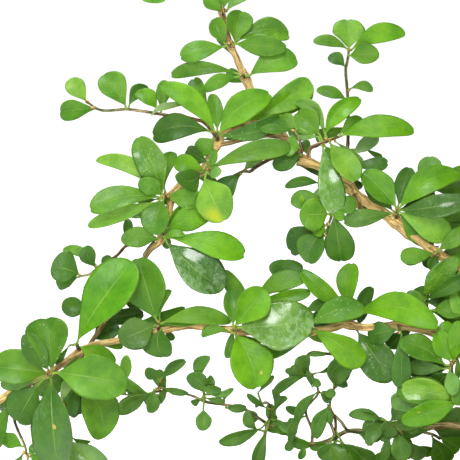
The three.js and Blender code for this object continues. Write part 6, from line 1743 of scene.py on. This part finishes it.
def moss(draw):
    """Cushions of moss, each a low mound covered with short pointed shoots."""
    skin = Skin()
    for x0, y0, reach in MOSS_BEDS:
        phase = draw(0, TURN)

        def edge(turn):
            return reach * (1 + 0.16 * math.sin(2 * turn + phase) + 0.1 * math.sin(5 * turn + 2 * phase))

        def place(turn, share):
            return x0 + edge(turn) * share * math.cos(turn), y0 + edge(turn) * share * math.sin(turn)

        def top(x, y):
            away = math.hypot(x - x0, y - y0) / edge(math.atan2(y - y0, x - x0))
            dome = reach * 0.2 * max(0, 1 - away**2) ** 0.7
            lumps = 0.5 * noise.noise(Vector((x * 0.4, y * 0.4, 5))) * max(0, 1 - away)
            return soil_height(x, y) - 0.5 + dome + lumps

        rings = []
        for i in range(MOSS_ROWS):
            share = 1 - i / (MOSS_ROWS - 0.8)
            ring = []
            for j in range(MOSS_POINTS):
                x, y = place(2 * math.pi * j / MOSS_POINTS, share)
                ring.append(Vector((x, y, top(x, y) if i else soil_height(x, y) - 1.6)))
            rings.append(ring)
        add_rings(skin, rings, MOSS_FELT, MOSS_TRAIT)
        for _ in range(int(reach * reach * SHOOTS_PER_AREA)):
            turn, share = draw(0, math.tau), math.sqrt(draw(0, 1)) * 0.97
            x, y = place(turn, share)
            lean = Vector((draw(-0.6, 0.6), draw(-0.6, 0.6), 1)).normalized()
            foot, height, width = Vector((x, y, top(x, y) - 0.15)), draw(0.9, 1.9), draw(0.22, 0.38)
            light = draw(0.75, 1.3)
            tone = Vector(MOSS_DEEP).lerp(Vector(MOSS_PALE), draw(0, 1)) * light
            lower, upper = (
                [
                    skin.point(foot + lean * height * rise + round_centre(turn + extra, width * part),
                               (0, 0, 0), tuple(tone * bright), MOSS_TRAIT)
                    for extra in SHOOT_TURNS
                ]
                for rise, part, bright in ((0, 1, 0.45), (0.55, 0.9, 1))
            )
            tip = skin.point(foot + lean * height, (0, 0, 0), tuple(tone * 1.25), MOSS_TRAIT)
            for i in range(3):
                j = (i + 1) % 3
                skin.face((lower[i], lower[j], upper[j], upper[i]))
                skin.face((upper[i], upper[j], tip))
    skin.build("moss", [MOSS], [], "foliage")


# Everything is made here, once
HOLLY_LEAF = leaf_finish()
BARK = bark_finish()
CLAY = clay_finish()
GRIT = grit_finish()
NETTING = net_finish()
MOSS = moss_finish()

TREE_SEED = 20261125
DETAIL_SEED, FILLING_SEED, SHOOT_SEED, SOIL_SEED, MOSS_SEED = 7, 11, 23, 31, 47
APEX_STOPS, SHOOT_SHARES = (-2, 11, 24), (0.3, 0.42, 0.56, 0.7, 0.84, 0.95)
STEM_RADII, STEM_REACH, STEM_LEAVES = (1, 0.6), (28, 36), (13, 18)
SHOOT_RADII, SHOOT_REACH, SHOOT_LEAVES = (0.8, 0.5), (17, 27), (10, 16)

# The leafy sprays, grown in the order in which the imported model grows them
draw_tree, draw_detail = draws_from(TREE_SEED), draws_from(DETAIL_SEED)
draw_filling, draw_shoots = draws_from(FILLING_SEED), draws_from(SHOOT_SEED)
growing = []
for name, readings, radii, leaves in SPRAYS:
    stem = Stem([in_view(reading) for reading in readings], radii)
    growing.append((name, [(stem, front_leaves(name, stem, leaves, draw_tree))]))
for limb, shares, path, _ in OUTER_LIMBS:
    for index, share in enumerate(shares):
        name = f"stem_{limb}_{index + 1}"
        stem = Stem(outer_stem(path, share, index, draw_tree, STEM_REACH), STEM_RADII)
        leaves = paired_leaves(name, stem, draw_tree, STEM_LEAVES, Solids(name))
        growing.append((name, [(stem, leaves)]))
trunk_end, trunk_top = Vector(TRUNK[-2]), Vector(TRUNK[-1])
rise = (trunk_top - trunk_end).normalized()
apex = Stem([trunk_top + rise * distance for distance in APEX_STOPS], STEM_RADII)
leaves = paired_leaves("stem_apex", apex, draw_tree, STEM_LEAVES, Solids("stem_apex"))
growing.append(("stem_apex", [(apex, leaves)]))

# What fills them: small leaves between theirs, and shoots along the limbs past the view
places = wood_places()
for name, parts in growing:
    fillers = FILLING.get(name)
    if fillers:
        parts.append((None, filling_leaves(fillers, places, name.startswith("back_"), draw_filling)))
for limb, shares, path, _ in OUTER_LIMBS:
    for index, share in enumerate(SHOOT_SHARES):
        shoot = Stem(outer_stem(path, share, index, draw_shoots, SHOOT_REACH), SHOOT_RADII)
        owner = next(parts for name, parts in growing if name == f"stem_{limb}_{index % len(shares) + 1}")
        owner.append((shoot, paired_leaves(limb, shoot, draw_shoots, SHOOT_LEAVES)))
for name, parts in growing:
    add_spray(name, parts, draw_detail)

trunk_and_roots()
limbs()
tray()
drain_screen("drain_screen_left", -1)
drain_screen("drain_screen_right", 1)
soil(draws_from(SOIL_SEED))
moss(draws_from(MOSS_SEED))


# Stage and light
FLOOR_CORNERS = [(-6, -3, 0), (6, -3, 0), (6, 12, 0), (-6, 12, 0)]
FLOOR_GREY, FLOOR_GLOW = 0.86, 0.45
SKY_LIGHT = [(0, 1.0), (0.12, 0.95), (0.3, 0.5), (0.7, 0.5), (0.95, 0.9)]


def stage():
    """A wide pale floor that glows a little, so that it shows as plain white."""
    mesh = bpy.data.meshes.new("floor")
    mesh.from_pydata(FLOOR_CORNERS, [], [(0, 1, 2, 3)])
    floor = bpy.data.objects.new("floor", mesh)
    bpy.context.scene.collection.objects.link(floor)
    paper = Finish(bpy.data.materials.new("pale_floor"))
    mesh.materials.append(paper.done({
        "Base Color": (FLOOR_GREY, FLOOR_GREY, FLOOR_GREY, 1),
        "Roughness": 0.9,
        "Emission Color": (1, 1, 1, 1),
        "Emission Strength": FLOOR_GLOW,
        "Specular IOR Level": 0.0,
    }))


def sky():
    """A pale sky, bright overhead and below, and dimmer at its sides."""
    dome = Finish(bpy.data.worlds.new("studio"))
    height = dome.parts(dome.node("ShaderNodeTexCoord", output="Generated"))[2]
    light = dome.ramp(height, [(position, (level,) * 3) for position, level in SKY_LIGHT])
    background = dome.node("ShaderNodeBackground", {}, {"Color": light})
    dome.node("ShaderNodeOutputWorld", {}, {"Surface": background})
    bpy.context.scene.world = dome.owner


def soft_light(name, at, towards, size, power):
    """A round lamp that shines from one place towards another."""
    lamp = bpy.data.lights.new(name, "AREA")
    lamp.shape, lamp.size, lamp.energy = "DISK", size, power
    holder = bpy.data.objects.new(name, lamp)
    holder.location = at
    holder.rotation_euler = (Vector(towards) - Vector(at)).to_track_quat("-Z", "Y").to_euler()
    bpy.context.scene.collection.objects.link(holder)


stage()
sky()
soft_light("overhead", (-0.15, 0.1, 1.1), (-0.03, 0, 0.12), 0.5, 8)
soft_light("window", (-0.2, -0.95, 0.75), (-0.05, 0, 0.13), 0.4, 8)
